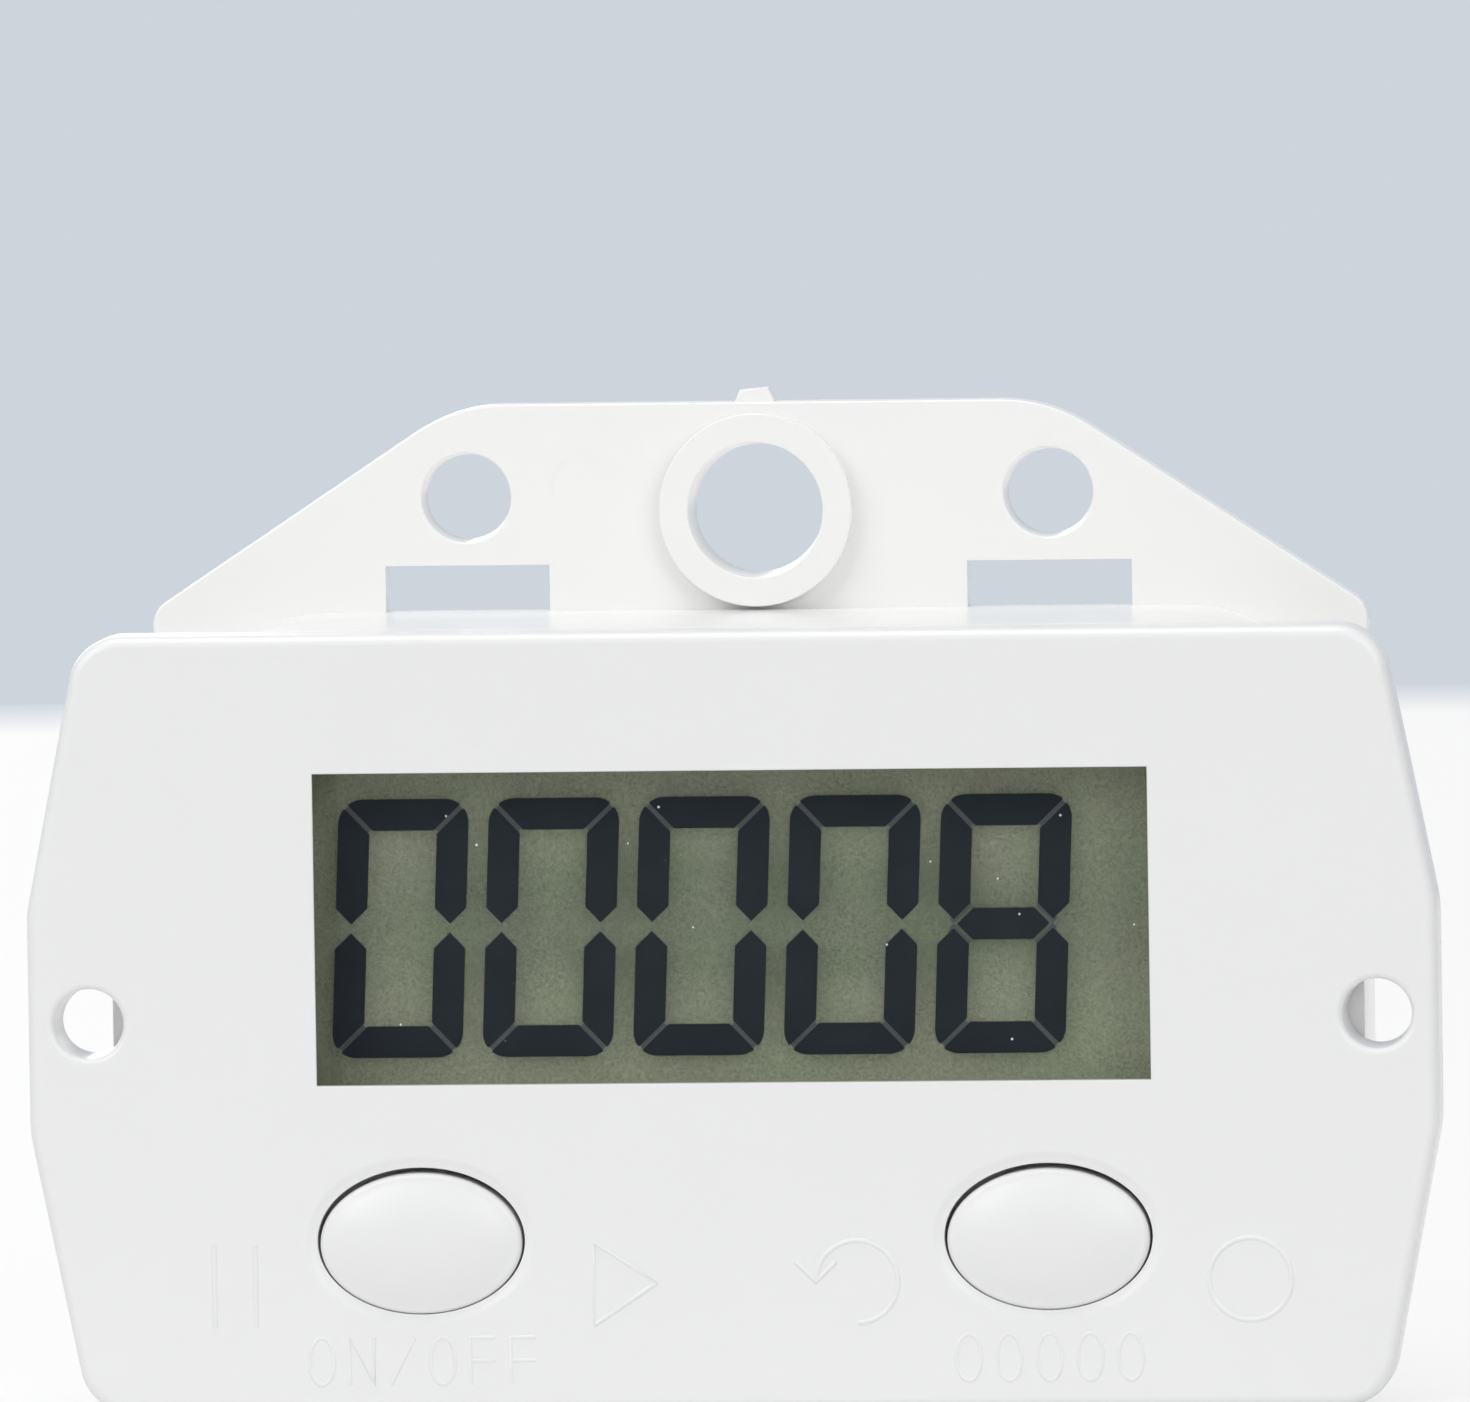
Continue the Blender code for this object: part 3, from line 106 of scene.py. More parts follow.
# Back shell
SHELL_WALL = 0.0015
SHELL_CORNER_RADIUS = 0.0068
SHELL_SIDE_DRAFT = 0.0005
SHELL_EDGE_RADIUS = 0.0004
SHELL_LIP = 0.00005
BACK_WALL = 0.0015
FLANGE_RISE = 0.0089
FLANGE_OVERLAP = 0.0012
FLANGE_TOP_WIDTH = 0.0263
FLANGE_LEFT_DROP = 0.00012
FLANGE_RIGHT_DROP = 0.00034
FLANGE_BASE_STEP = 0.0003
FLANGE_TOP_RADIUS = 0.0070
FLANGE_BASE_RADIUS = 0.0012
FLANGE_EDGE_RADIUS = 0.0001
FLANGE_BACK_RADIUS = 0.0001
FLANGE_HOLE_SPACING = 0.0251
FLANGE_HOLE_RISE = 0.0049
FLANGE_HOLE_DIAMETER = 0.00385
FLANGE_HOLE_TAPER = 0.00022
FLANGE_HOLE_RIM = 0.0001
SLOT_WIDTH = 0.0071
SLOT_HEIGHT = 0.0020
RING_DIAMETER = 0.0083
RING_RISE = 0.0043
RING_PROUD = 0.0009
RING_BORE = 0.0058
RING_BORE_TAPER = 0.0003
RING_EDGE_RADIUS = 0.00006
RING_BORE_RIM = 0.00008
GATE_BASE_WIDTH = 0.0016
GATE_TOP_WIDTH = 0.0012
GATE_LEAN = 0.0001
GATE_HEIGHT = 0.0006
GATE_SLANT = 0.0001
GATE_THICKNESS = 0.0011
GATE_ROOT = 0.0004
GATE_EDGE = 0.00005
EJECTOR_PLACE = (-0.00745, 0.0385)
EJECTOR_DIAMETER = 0.00275
EJECTOR_DEPTH = 0.0000233333

# Posts, pocket and battery cap
POST_FROM_END = 0.0030
POST_FROM_EDGE = 0.0047
POST_DIAMETER = 0.0054
POST_BORE = 0.0025
COVER_BOSS_DIAMETER = 0.0036
BOARD_BOSS_DIAMETER = 0.0032
BOARD_BOSS_FROM_SIDE = 0.0055
BOARD_BOSS_ABOVE_POST = 0.00525
BOARD_BOSS_FROM_BOTTOM = 0.0043
COUNTERBORE_DIAMETER = 0.0042
COUNTERBORE_DEPTH = 0.0060
COUNTERBORE_RIM = 0.0001
POCKET_RADIUS = 0.0061
POCKET_WALL = 0.0014
LEDGE_RADIUS = 0.0066
LEDGE_THICKNESS = 0.0008
UNDERCUT_RADIUS = 0.0077
UNDERCUT_WALL = 0.0010
RECESS_CLEARANCE = 0.0003
RECESS_RIM = 0.00012
POCKET_FRONT = 0.00785
FLOOR_BACK = 0.00845
UNDERCUT_FRONT = 0.01415
LEDGE_FRONT = 0.01495
CAP_EDGE_RADIUS = 0.00025
CAP_NECK_RADIUS = 0.0063
CAP_HEAD_THICKNESS = 0.0011
COIN_SLOT_LENGTH = 0.0095
COIN_SLOT_WIDTH = 0.0016
COIN_SLOT_DEPTH = 0.0007
COIN_SLOT_RIM = 0.00008
INDEX_INSET = 0.0016
INDEX_HALF = 0.00055
INDEX_DEPTH = 0.0002
LOCK_TURN = math.radians(45)
LOCK_MARK_OUTSET = 0.0013
LOCK_MARK_RADIUS = 0.00065
LOCK_MARK_BORE = 0.00035

# Screws
HEAD_RADIUS = 0.0018
HEAD_HEIGHT = 0.0012
HEAD_EDGE_RADIUS = 0.0004
SHANK_RADIUS = 0.0010
SHANK_LENGTH = 0.0080
SHANK_TIP = 0.0008
SHANK_TIP_SHARE = 0.35
RECESS_SPAN = 0.0020
RECESS_WIDTH = 0.00042
RECESS_DEPTH = 0.0007
RECESS_TAPER = 0.0001

# Display
DIGITS = "00008"
DIGIT_PITCH = 0.00643
DIGIT_FIRST_X = -0.01435
DIGIT_WIDTH = 0.00557
DIGIT_HEIGHT = 0.01102
DIGIT_Z = 0.02037
DIGIT_SLANT = math.tan(math.radians(2.45))
DIGIT_BAR = 0.00134
DIGIT_GAP = 0.00021
DIGIT_POINT_GAP = 0.00038
DIGIT_CORNER = 0.00105
DIGIT_DEPTH = 0.00326
DIGIT_THICKNESS = 0.00003
DIGIT_HALF_WIDTH = DIGIT_WIDTH / 2
DIGIT_HALF_HEIGHT = DIGIT_HEIGHT / 2
DIGIT_INNER_X = DIGIT_HALF_WIDTH - DIGIT_BAR
DIGIT_INNER_Z = DIGIT_HALF_HEIGHT - DIGIT_BAR
# Painted shade: thin dark plates in the narrow gaps between the segments
GAP_SHADE_THICKNESS = DIGIT_THICKNESS / 5
REAR_GLASS_ALPHA = 0.40
BAND_X = -0.01703
BAND_BLUR = 0.00004
BAND_SHARE = 0.83
SHEET_CORNER = 0.0001
SHEET_EDGE = 0.00004

# Relief marks on the face
MARK_RISE = 0.00006
MARK_STROKE = 0.00014
MARK_Z = 0.00545
MARK_RADIUS = 0.00175
MARK_X = (-0.0213, -0.0051, 0.0052, 0.0219)
LETTER_STROKE = 0.00011
LETTER_RISE = 0.000045
LETTER_Z = 0.0012
LETTER_HEIGHT = 0.0020
LETTER_WIDTH = 0.00105
LETTER_PITCH = 0.00172

# Surface detail: scales in features per metre, heights in metres, colours as linear shares
MOTTLE_SCALE = 150.0
GLOSS_SCALE = 240.0
WAVE_SCALE = 110.0
WAVE_HEIGHT = 0.000004
PEEL_SCALE = 5200.0
PEEL_HEIGHT = 0.0000005
TARNISH_SCALE = 900.0
BRUSH_SCALE = 2500.0
SCRATCH_SCALE = 3000.0
SCRATCH_HEIGHT = 0.000002
HAZE_SCALE = 300.0
SMEAR_SCALE = 500.0
SPECK_SCALE = 950.0
SPECK_CHOICE_SCALE = 1100.0
PATCH_SCALE = 230.0
GRAIN_SCALE = 9000.0
STRIPE_SCALE = 900.0
TRACK_SCALE = 420.0
TRACK_HEIGHT = 0.00003
DUST_COLOUR = (0.85, 0.84, 0.76)
GROUND_COLOUR = (0.23, 0.245, 0.17)
# Painted light: the ground's edge colour is lighter than its middle, offsetting the shade of the window's
# walls and the digits; the browner tint is its own
GROUND_EDGE_PAINTED_LIGHTER = (0.343, 0.374, 0.268)
GROUND_MIDDLE = (0.214, 0.250, 0.175)
BOARD_GREEN = (0.05, 0.22, 0.09)
TRACK_GREEN = (0.09, 0.33, 0.13)

# Facets and overruns
OVERRUN = 0.0010
ROOT = 0.0005
ARC_STEP = math.radians(4)
ROUND_POINTS = 96
SMALL_ROUND_POINTS = 48
FILLET_STEPS = 6
SMOOTH_ANGLE = math.radians(31)

# Camera, fitted to the photograph's edges, holes and corners
IMAGE_WIDTH = 1470
FOCAL_PIXELS = 23350
SENSOR_WIDTH = 36.0
CAMERA_AZIMUTH = math.radians(5.448)
CAMERA_ELEVATION = math.radians(3.633)
CAMERA_ROLL = math.radians(-0.896)
CAMERA_DISTANCE = 0.9876
CAMERA_TARGET = (0.000396, -0.0082, 0.030136)
CLIP_RATIO = 20

# Studio
FLOOR_RADIUS = 0.476
FLOOR_POINTS = 180
FLOOR_FADE = 0.03
FLOOR_COLOUR = (0.84, 0.84, 0.845)
FLOOR_WHITE_SHARE = 0.74
BACKDROP_COLOUR = (0.61, 0.66, 0.72)
WORLD_LIGHT = 0.40
LAMPS = {
    "key": ((-0.70, -0.80, 0.65), 0.70, 3.95),
    "top": ((-0.10, -0.15, 0.95), 0.60, 3.5),
    "fill": ((0.60, -0.80, 0.45), 0.60, 2.7),
    "back": ((-0.35, 0.95, 0.33), 0.45, 2.0),
}

# Places that several pieces share, from the frame
cover_low, cover_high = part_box("front_cover")
shell_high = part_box("back_shell")[1]
cell_low, cell_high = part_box("button_cell")
cap_low, cap_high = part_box("battery_cap")
screw_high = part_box("housing_screw_1")[1]
FACE_Y = cover_low[1]
TOP_Z = cover_high[2]
COVER_HALF = cover_high[0]
COVER_END_HALF = COVER_HALF - COVER_SIDE_LEAN
EAR_Z = TOP_Z / 2 + EAR_RISE
DEPTH = shell_high[1] - FACE_Y
SHELL_FRONT = COVER_RIM + TONGUE_CLEARANCE
WALL_FRONT = DEPTH - BACK_WALL
SHELL_HALF = COVER_HALF - EAR_OVERHANG
SHELL_END_HALF = COVER_END_HALF - EAR_OVERHANG
POST_X = SHELL_END_HALF - POST_FROM_END
POST_PLACES = [(x, z) for z in (TOP_Z - POST_FROM_EDGE, POST_FROM_EDGE) for x in (-POST_X, POST_X)]
BOARD_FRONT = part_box("circuit_board")[0][1] - FACE_Y
POST_FRONT = BOARD_FRONT + TONGUE_CLEARANCE * 2
BOARD_BOSS_X = SHELL_HALF - BOARD_BOSS_FROM_SIDE
BOARD_BOSS_Z = POST_FROM_EDGE + BOARD_BOSS_ABOVE_POST
BOARD_BOSS_PLACES = (
    (BOARD_BOSS_X, BOARD_BOSS_Z),
    (-BOARD_BOSS_X, BOARD_BOSS_Z),
    (0.0, BOARD_BOSS_FROM_BOTTOM),
)
CELL_Z = (cell_low[2] + cell_high[2]) / 2
CELL_PLACE = (0.0, CELL_Z)
RING_PLACE = (0.0, TOP_Z + RING_RISE)
RING_FRONT = WALL_FRONT - RING_PROUD
CAP_RADIUS = cap_high[0]
CAP_BACK = cap_high[1] - FACE_Y
CAP_FRONT = cap_low[1] - FACE_Y
SCREW_SEAT = screw_high[1] - FACE_Y - HEAD_HEIGHT
KEY_X = COVER_HALF - KEY_FROM_SIDE


def add(name, mesh):
    piece = bpy.data.objects.new(name, mesh)
    bpy.context.scene.collection.objects.link(piece)
    return piece


def rounded(corners):
    """The points of a closed outline whose corners are (x, z, radius), each rounded by an arc."""
    points = []
    for index, (x, z, radius) in enumerate(corners):
        if not radius:
            points.append((x, z))
            continue
        before_x, before_z = corners[index - 1][:2]
        after_x, after_z = corners[(index + 1) % len(corners)][:2]
        back = math.atan2(before_z - z, before_x - x)
        ahead = math.atan2(after_z - z, after_x - x)
        half = math.remainder(ahead - back, math.tau) / 2
        middle = back + half
        reach = radius / abs(math.sin(half))
        centre_x = x + reach * math.cos(middle)
        centre_z = z + reach * math.sin(middle)
        turn = math.copysign(math.pi / 2 - abs(half), half)
        steps = max(1, math.ceil(2 * abs(turn) / ARC_STEP))
        for step in range(steps + 1):
            angle = middle + math.pi + turn * (1 - 2 * step / steps)
            points.append((centre_x + radius * math.cos(angle), centre_z + radius * math.sin(angle)))
    return points


def moved_in(corners, distance):
    """A convex outline moved inwards, its corners taken counter-clockwise."""
    lines = []
    for index, (x, z, _) in enumerate(corners):
        next_x, next_z = corners[(index + 1) % len(corners)][:2]
        length = math.hypot(next_x - x, next_z - z)
        along = ((next_x - x) / length, (next_z - z) / length)
        lines.append((x - along[1] * distance, z + along[0] * distance, along))
    moved = []
    for index, (_, _, radius) in enumerate(corners):
        first_x, first_z, first = lines[index - 1]
        second_x, second_z, second = lines[index]
        across = first[0] * second[1] - first[1] * second[0]
        gap_x, gap_z = second_x - first_x, second_z - first_z
        reach = (gap_x * second[1] - gap_z * second[0]) / across
        tight = max(radius - distance, radius / 4) if radius else 0.0
        moved.append((first_x + reach * first[0], first_z + reach * first[1], tight))
    return moved


def polygon(corners):
    return lambda distance: rounded(moved_in(corners, distance))


def rectangle(x, z, half_width, half_height, radius=0.0):
    return polygon([
        (x - half_width, z - half_height, radius),
        (x + half_width, z - half_height, radius),
        (x + half_width, z + half_height, radius),
        (x - half_width, z + half_height, radius),
    ])


def oval(x, z, half_width, half_height, points=ROUND_POINTS):
    def outline(distance):
        angles = [math.tau * step / points for step in range(points)]
        width = half_width - distance
        height = half_height - distance
        return [(x + width * math.cos(angle), z + height * math.sin(angle)) for angle in angles]
    return outline


def circle(place, radius, points=ROUND_POINTS):
    return oval(place[0], place[1], radius, radius, points)


def sleeve(shape, rings):
    """Adds closed walls through rings of points, capped at both ends, with the normals outwards."""
    rings = [[shape.verts.new(point) for point in ring] for ring in rings]
    for near, far in zip(rings, rings[1:]):
        for index in range(len(near)):
            after = (index + 1) % len(near)
            shape.faces.new((near[index], near[after], far[after], far[index]))
    shape.faces.new(rings[0])
    shape.faces.new(rings[-1])
    bmesh.ops.recalc_face_normals(shape, faces=shape.faces)


def add_shape(name, shape):
    mesh = bpy.data.meshes.new(name)
    shape.to_mesh(mesh)
    shape.free()
    return add(name, mesh)


def solid(name, outline, profile):
    """A closed mesh through rings of the outline, each moved in by a distance at a depth behind the face."""
    shape = bmesh.new()
    sleeve(shape, [[(x, FACE_Y + depth, z) for x, z in outline(distance)] for distance, depth in profile])
    return add_shape(name, shape)


def front_edge(radius, depth):
    """The rounded front edge of a plate, from its face to its side."""
    if not radius:
        return [(0.0, depth)]
    angles = [math.pi / 2 * step / FILLET_STEPS for step in range(FILLET_STEPS + 1)]
    return [(radius * (1 - math.sin(angle)), depth + radius * (1 - math.cos(angle))) for angle in angles]


def back_edge(radius, depth):
    return [(distance, 2 * depth - place) for distance, place in reversed(front_edge(radius, depth))]


def plate(name, outline, front, back, front_radius=SHELL_LIP, back_radius=SHELL_LIP):
    """A plate between two depths, its front and back edges rounded."""
    return solid(name, outline, front_edge(front_radius, front) + back_edge(back_radius, back))


def hole(name, outline, front, back, front_rim=0.0, back_rim=0.0, taper=0.0):
    """A cutter for a hole between two faces, flared where the rims are rounded."""
    profile = [(-front_rim, front - OVERRUN)]
    profile += [(-distance, depth) for distance, depth in front_edge(front_rim, front)]
    profile += [(taper / 2 - distance, depth) for distance, depth in back_edge(back_rim, back)]
    profile.append((taper / 2 - back_rim, back + OVERRUN))
    return solid(name, outline, profile)


def combine(piece, others, operation):
    for other in others:
        boolean = piece.modifiers.new(other.name, "BOOLEAN")
        boolean.operation = operation
        boolean.solver = "EXACT"
        boolean.object = other


def settle(piece):
    """Applies the piece's modifiers, drops the cutters and shades it smooth between its sharp edges."""
    cutters = [modifier.object for modifier in piece.modifiers if modifier.type == "BOOLEAN"]
    graph = bpy.context.evaluated_depsgraph_get()
    graph.update()
    mesh = bpy.data.meshes.new_from_object(piece.evaluated_get(graph))
    mesh.name = piece.name
    piece.modifiers.clear()
    piece.data = mesh
    for cutter in cutters:
        bpy.data.objects.remove(cutter)
    mesh.shade_smooth()
    mesh.set_sharp_from_angle(angle=SMOOTH_ANGLE)
    weighted = piece.modifiers.new("Flat_faces", "WEIGHTED_NORMAL")
    weighted.keep_sharp = True
    return piece


def dress(piece, body, slot, finish, *nodes):
    piece.data.materials.clear()
    piece.data.materials.append(finish)
    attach(piece, body)
    if nodes:
        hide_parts(*nodes)


def side_shape(end_half, half, corner_radius):
    """The eight-cornered outline of the cover and the shell, widest along its straight middle."""
    right = [
        (end_half, 0.0, corner_radius),
        (half, EAR_Z - COVER_STRAIGHT / 2, COVER_SIDE_RADIUS),
        (half, EAR_Z + COVER_STRAIGHT / 2, COVER_SIDE_RADIUS),
        (end_half, TOP_Z, corner_radius),
    ]
    return right + [(-x, z, radius) for x, z, radius in reversed(right)]


COVER_OUTLINE = side_shape(COVER_END_HALF, COVER_HALF, COVER_CORNER_RADIUS)
SHELL_OUTLINE = side_shape(SHELL_END_HALF, SHELL_HALF, SHELL_CORNER_RADIUS)


# Materials


def shader_material(name, colour, roughness, metallic=0.0, specular=0.5):
    material = bpy.data.materials.new(name)
    material.use_nodes = True
    tree = material.node_tree
    shader = tree.nodes["Principled BSDF"]
    shader.inputs["Base Color"].default_value = (*colour, 1.0)
    shader.inputs["Roughness"].default_value = roughness
    shader.inputs["Metallic"].default_value = metallic
    shader.inputs["Specular IOR Level"].default_value = specular
    return material, tree, shader


def own_place(tree):
    """The place of a point in its piece's own coordinates."""
    return tree.nodes.new("ShaderNodeTexCoord").outputs["Object"]


def noise(tree, scale, detail=3.0, stretch=(1.0, 1.0, 1.0)):
    mapping = tree.nodes.new("ShaderNodeMapping")
    mapping.inputs["Scale"].default_value = stretch
    texture = tree.nodes.new("ShaderNodeTexNoise")
    texture.inputs["Scale"].default_value = scale
    texture.inputs["Detail"].default_value = detail
    tree.links.new(own_place(tree), mapping.inputs["Vector"])
    tree.links.new(mapping.outputs["Vector"], texture.inputs["Vector"])
    return texture.outputs["Fac"]


def cells(tree, scale, feature="F1"):
    """The distance to the middle of the nearest cell, or to its edge."""
    texture = tree.nodes.new("ShaderNodeTexVoronoi")
    texture.feature = feature
    texture.inputs["Scale"].default_value = scale
    tree.links.new(own_place(tree), texture.inputs["Vector"])
    return texture.outputs["Distance"]


def spread(tree, value, low, high, start=0.3, end=0.7):
    """The value mapped from its range between start and end to the range between low and high."""
    ranged = tree.nodes.new("ShaderNodeMapRange")
    for socket, number in (("From Min", start), ("From Max", end), ("To Min", low), ("To Max", high)):
        ranged.inputs[socket].default_value = number
    tree.links.new(value, ranged.inputs["Value"])
    return ranged.outputs["Result"]


def maths(tree, operation, first, second):
    node = tree.nodes.new("ShaderNodeMath")
    node.operation = operation
    tree.links.new(first, node.inputs[0])
    tree.links.new(second, node.inputs[1])
    return node.outputs["Value"]


def blend_colours(tree, factor, first, second):
    mix = tree.nodes.new("ShaderNodeMix")
    mix.data_type = "RGBA"
    mix.inputs["A"].default_value = (*first, 1.0)
    mix.inputs["B"].default_value = (*second, 1.0)
    tree.links.new(factor, mix.inputs["Factor"])
    return mix.outputs["Result"]


def multiply_colours(tree, first, second):
    mix = tree.nodes.new("ShaderNodeMix")
    mix.data_type = "RGBA"
    mix.blend_type = "MULTIPLY"
    mix.inputs["Factor"].default_value = 1.0
    tree.links.new(first, mix.inputs["A"])
    tree.links.new(second, mix.inputs["B"])
    return mix.outputs["Result"]


def mix_shaders(tree, factor, first, second, output):
    """Sends a mix of two shaders to the output node."""
    mix = tree.nodes.new("ShaderNodeMixShader")
    tree.links.new(factor, mix.inputs["Fac"])
    tree.links.new(first, mix.inputs[1])
    tree.links.new(second, mix.inputs[2])
    tree.links.new(mix.outputs["Shader"], tree.nodes[output].inputs["Surface"])


def bump(tree, height, distance, normal=None):
    node = tree.nodes.new("ShaderNodeBump")
    node.inputs["Distance"].default_value = distance
    tree.links.new(height, node.inputs["Height"])
    if normal is not None:
        tree.links.new(normal, node.inputs["Normal"])
    return node.outputs["Normal"]


def shaded(colour, factor):
    return tuple(channel * factor for channel in colour)


def moulded(name, colour, roughness, wave=WAVE_HEIGHT, variation=0.994):
    """Moulded plastic: a slight mottle, a fine orange peel and the slow waves of sink marks."""
    material, tree, shader = shader_material(name, colour, roughness)
    mottle = spread(tree, noise(tree, MOTTLE_SCALE, 1.0), 0.0, 1.0, 0.2, 0.8)
    colours = blend_colours(tree, mottle, shaded(colour, variation), colour)
    tree.links.new(colours, shader.inputs["Base Color"])
    rough = spread(tree, noise(tree, GLOSS_SCALE, 1.0), roughness * 0.95, roughness * 1.05)
    tree.links.new(rough, shader.inputs["Roughness"])
    waves = bump(tree, noise(tree, WAVE_SCALE, 1.0, (0.35, 1.0, 1.6)), wave)
    peel = bump(tree, noise(tree, PEEL_SCALE, 2.0), PEEL_HEIGHT, waves)
    tree.links.new(peel, shader.inputs["Normal"])
    return material


def brushed(name, colour, roughness):
    """Plated metal with fine scratches and a little tarnish."""
    material, tree, shader = shader_material(name, colour, roughness, 1.0)
    tarnish = spread(tree, noise(tree, TARNISH_SCALE), 0.0, 1.0)
    colours = blend_colours(tree, tarnish, shaded(colour, 0.86), colour)
    tree.links.new(colours, shader.inputs["Base Color"])
    rough = spread(tree, noise(tree, BRUSH_SCALE), roughness * 0.8, roughness * 1.3)
    tree.links.new(rough, shader.inputs["Roughness"])
    marks = bump(tree, noise(tree, SCRATCH_SCALE, 4.0, (1.0, 1.0, 6.0)), SCRATCH_HEIGHT)
    tree.links.new(marks, shader.inputs["Normal"])
    return material


def clear(name, colour, alpha, roughness, specular=0.5):
    """A clear sheet: mostly see-through, with a faint tint, sheen and haze that varies a little."""
    material, tree, shader = shader_material(name, colour, roughness, specular=specular)
    haze = spread(tree, noise(tree, HAZE_SCALE), alpha * 0.85, alpha * 1.15)
    tree.links.new(haze, shader.inputs["Alpha"])
    smear = spread(tree, noise(tree, SMEAR_SCALE), roughness * 0.7, roughness * 1.4)
    tree.links.new(smear, shader.inputs["Roughness"])
    return material


def dull(name, colour):
    """The dark of a display's segments: flat, and only faintly uneven."""
    material, tree, shader = shader_material(name, colour, 0.6, specular=0.05)
    uneven = spread(tree, noise(tree, SMEAR_SCALE), 0.0, 1.0)
    colours = blend_colours(tree, uneven, shaded(colour, 0.88), colour)
    tree.links.new(colours, shader.inputs["Base Color"])
    return material


def dusty_film():
    """The front film of the display: clear, lightly matted, with specks of dust and lint under it."""
    black = (0.0, 0.0, 0.0)
    material, tree, shader = shader_material("display_film", black, 0.35, specular=0.0)
    near = spread(tree, cells(tree, SPECK_SCALE), 1.0, 0.0, 0.035, 0.07)
    rare = spread(tree, noise(tree, SPECK_CHOICE_SCALE, 0.0), 0.0, 1.0, 0.58, 0.66)
    dust = maths(tree, "MULTIPLY", near, rare)
    tree.links.new(blend_colours(tree, dust, black, DUST_COLOUR), shader.inputs["Base Color"])
    tree.links.new(spread(tree, dust, 0.07, 0.9, 0.0, 1.0), shader.inputs["Alpha"])
    return material


def display_ground(name, alpha):
    """The display's grey-green ground: greener in its middle, browner at its edges and darker at the left,
    with its edges painted lighter to offset the shade of the window's walls and the digits.
    """
    material, tree, shader = shader_material(name, GROUND_COLOUR, 0.55, specular=0.05)
    shader.inputs["Alpha"].default_value = alpha
    low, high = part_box("lcd_reflector")
    size = [high[axis] - low[axis] for axis in range(3)]
    mapping = tree.nodes.new("ShaderNodeMapping")
    # The round field reaches the ground's top and bottom, and twice as far out sideways
    mapping.inputs["Scale"].default_value = (1 / size[0], 0.0, 2 / size[2])
    mapping.inputs["Location"].default_value = (0.0, 0.0, -(low[2] + high[2]) / size[2])
    round_field = tree.nodes.new("ShaderNodeTexGradient")
    round_field.gradient_type = "QUADRATIC_SPHERE"
    place = own_place(tree)
    tree.links.new(place, mapping.inputs["Vector"])
    tree.links.new(mapping.outputs["Vector"], round_field.inputs["Vector"])
    # Painted light: the ground turns lighter towards its edges, offsetting the shade that the window's walls
    # and the digits cast there
    middle = spread(tree, round_field.outputs["Fac"], 0.0, 1.0, 0.0, 0.5)
    field = blend_colours(tree, middle, GROUND_EDGE_PAINTED_LIGHTER, GROUND_MIDDLE)
    patches = spread(tree, noise(tree, PATCH_SCALE, 2.0), 0.0, 1.0, 0.35, 0.65)
    tints = blend_colours(tree, patches, (1.015, 0.985, 1.02), (0.985, 1.015, 0.985))
    grain = spread(tree, noise(tree, GRAIN_SCALE), 0.60, 1.40)
    sides = tree.nodes.new("ShaderNodeSeparateXYZ")
    tree.links.new(place, sides.inputs["Vector"])
    band = spread(tree, sides.outputs["X"], BAND_SHARE, 1.0, BAND_X - BAND_BLUR, BAND_X + BAND_BLUR)
    for tint in (tints, grain, band):
        field = multiply_colours(tree, field, tint)
    tree.links.new(field, shader.inputs["Base Color"])
    return material


def striped_rubber():
    """Conductive rubber: dark and clear layers side by side."""
    material, tree, shader = shader_material("zebra_rubber", (0.60, 0.45, 0.46), 0.7)
    waves = tree.nodes.new("ShaderNodeTexWave")
    waves.bands_direction = "X"
    waves.inputs["Scale"].default_value = STRIPE_SCALE
    tree.links.new(own_place(tree), waves.inputs["Vector"])
    stripes = blend_colours(tree, waves.outputs["Fac"], (0.62, 0.46, 0.47), (0.05, 0.04, 0.04))
    tree.links.new(stripes, shader.inputs["Base Color"])
    return material


def solder_mask():
    """Green board with faint, lighter tracks under its mask."""
    material, tree, shader = shader_material("board_green", BOARD_GREEN, 0.4)
    tracks = spread(tree, cells(tree, TRACK_SCALE, "DISTANCE_TO_EDGE"), 1.0, 0.0, 0.04, 0.10)
    tree.links.new(blend_colours(tree, tracks, BOARD_GREEN, TRACK_GREEN), shader.inputs["Base Color"])
    tree.links.new(bump(tree, tracks, TRACK_HEIGHT), shader.inputs["Normal"])
    return material


# Cover and housing are one white plastic; the housing's copy is painted lighter, so the shell and its flange
# look more brightly lit than the cover's face
COVER_WHITE = moulded("white_cover", (0.832, 0.832, 0.832), 0.26)
HOUSING_PAINTED_LIGHTER = moulded("white_housing", (0.900, 0.897, 0.888), 0.21)
KEY_WHITE = moulded("white_key", (0.82, 0.82, 0.818), 0.32, wave=0.000002)
HOLDER = moulded("holder_white", (0.75, 0.75, 0.73), 0.5)
SWITCH = moulded("switch_black", (0.03, 0.03, 0.03), 0.45, variation=0.8)
EPOXY = moulded("epoxy_black", (0.02, 0.02, 0.022), 0.35, wave=0.00003, variation=0.8)
CERAMIC = moulded("tan_ceramic", (0.50, 0.38, 0.24), 0.5, variation=0.9)
# The segments' own dark, lightened by a painted share of the haze light that the clear film would scatter over
# them
SEGMENT_INK_AND_HAZE = dull("display_segments_and_haze", (0.0275, 0.0345, 0.0425))
# Painted shade for the narrow gaps between the segments
GAP_SHADE = dull("display_gap_shade", (0.103, 0.117, 0.121))
STEEL = brushed("zinc_steel", (0.62, 0.62, 0.60), 0.30)
NICKEL = brushed("nickel", (0.70, 0.68, 0.62), 0.25)
GLASS = clear("display_glass", (0.0, 0.0, 0.0), 0.012, 0.08, specular=0.0)
TUBE_GLASS = clear("tube_glass", (0.60, 0.68, 0.62), 0.25, 0.06)
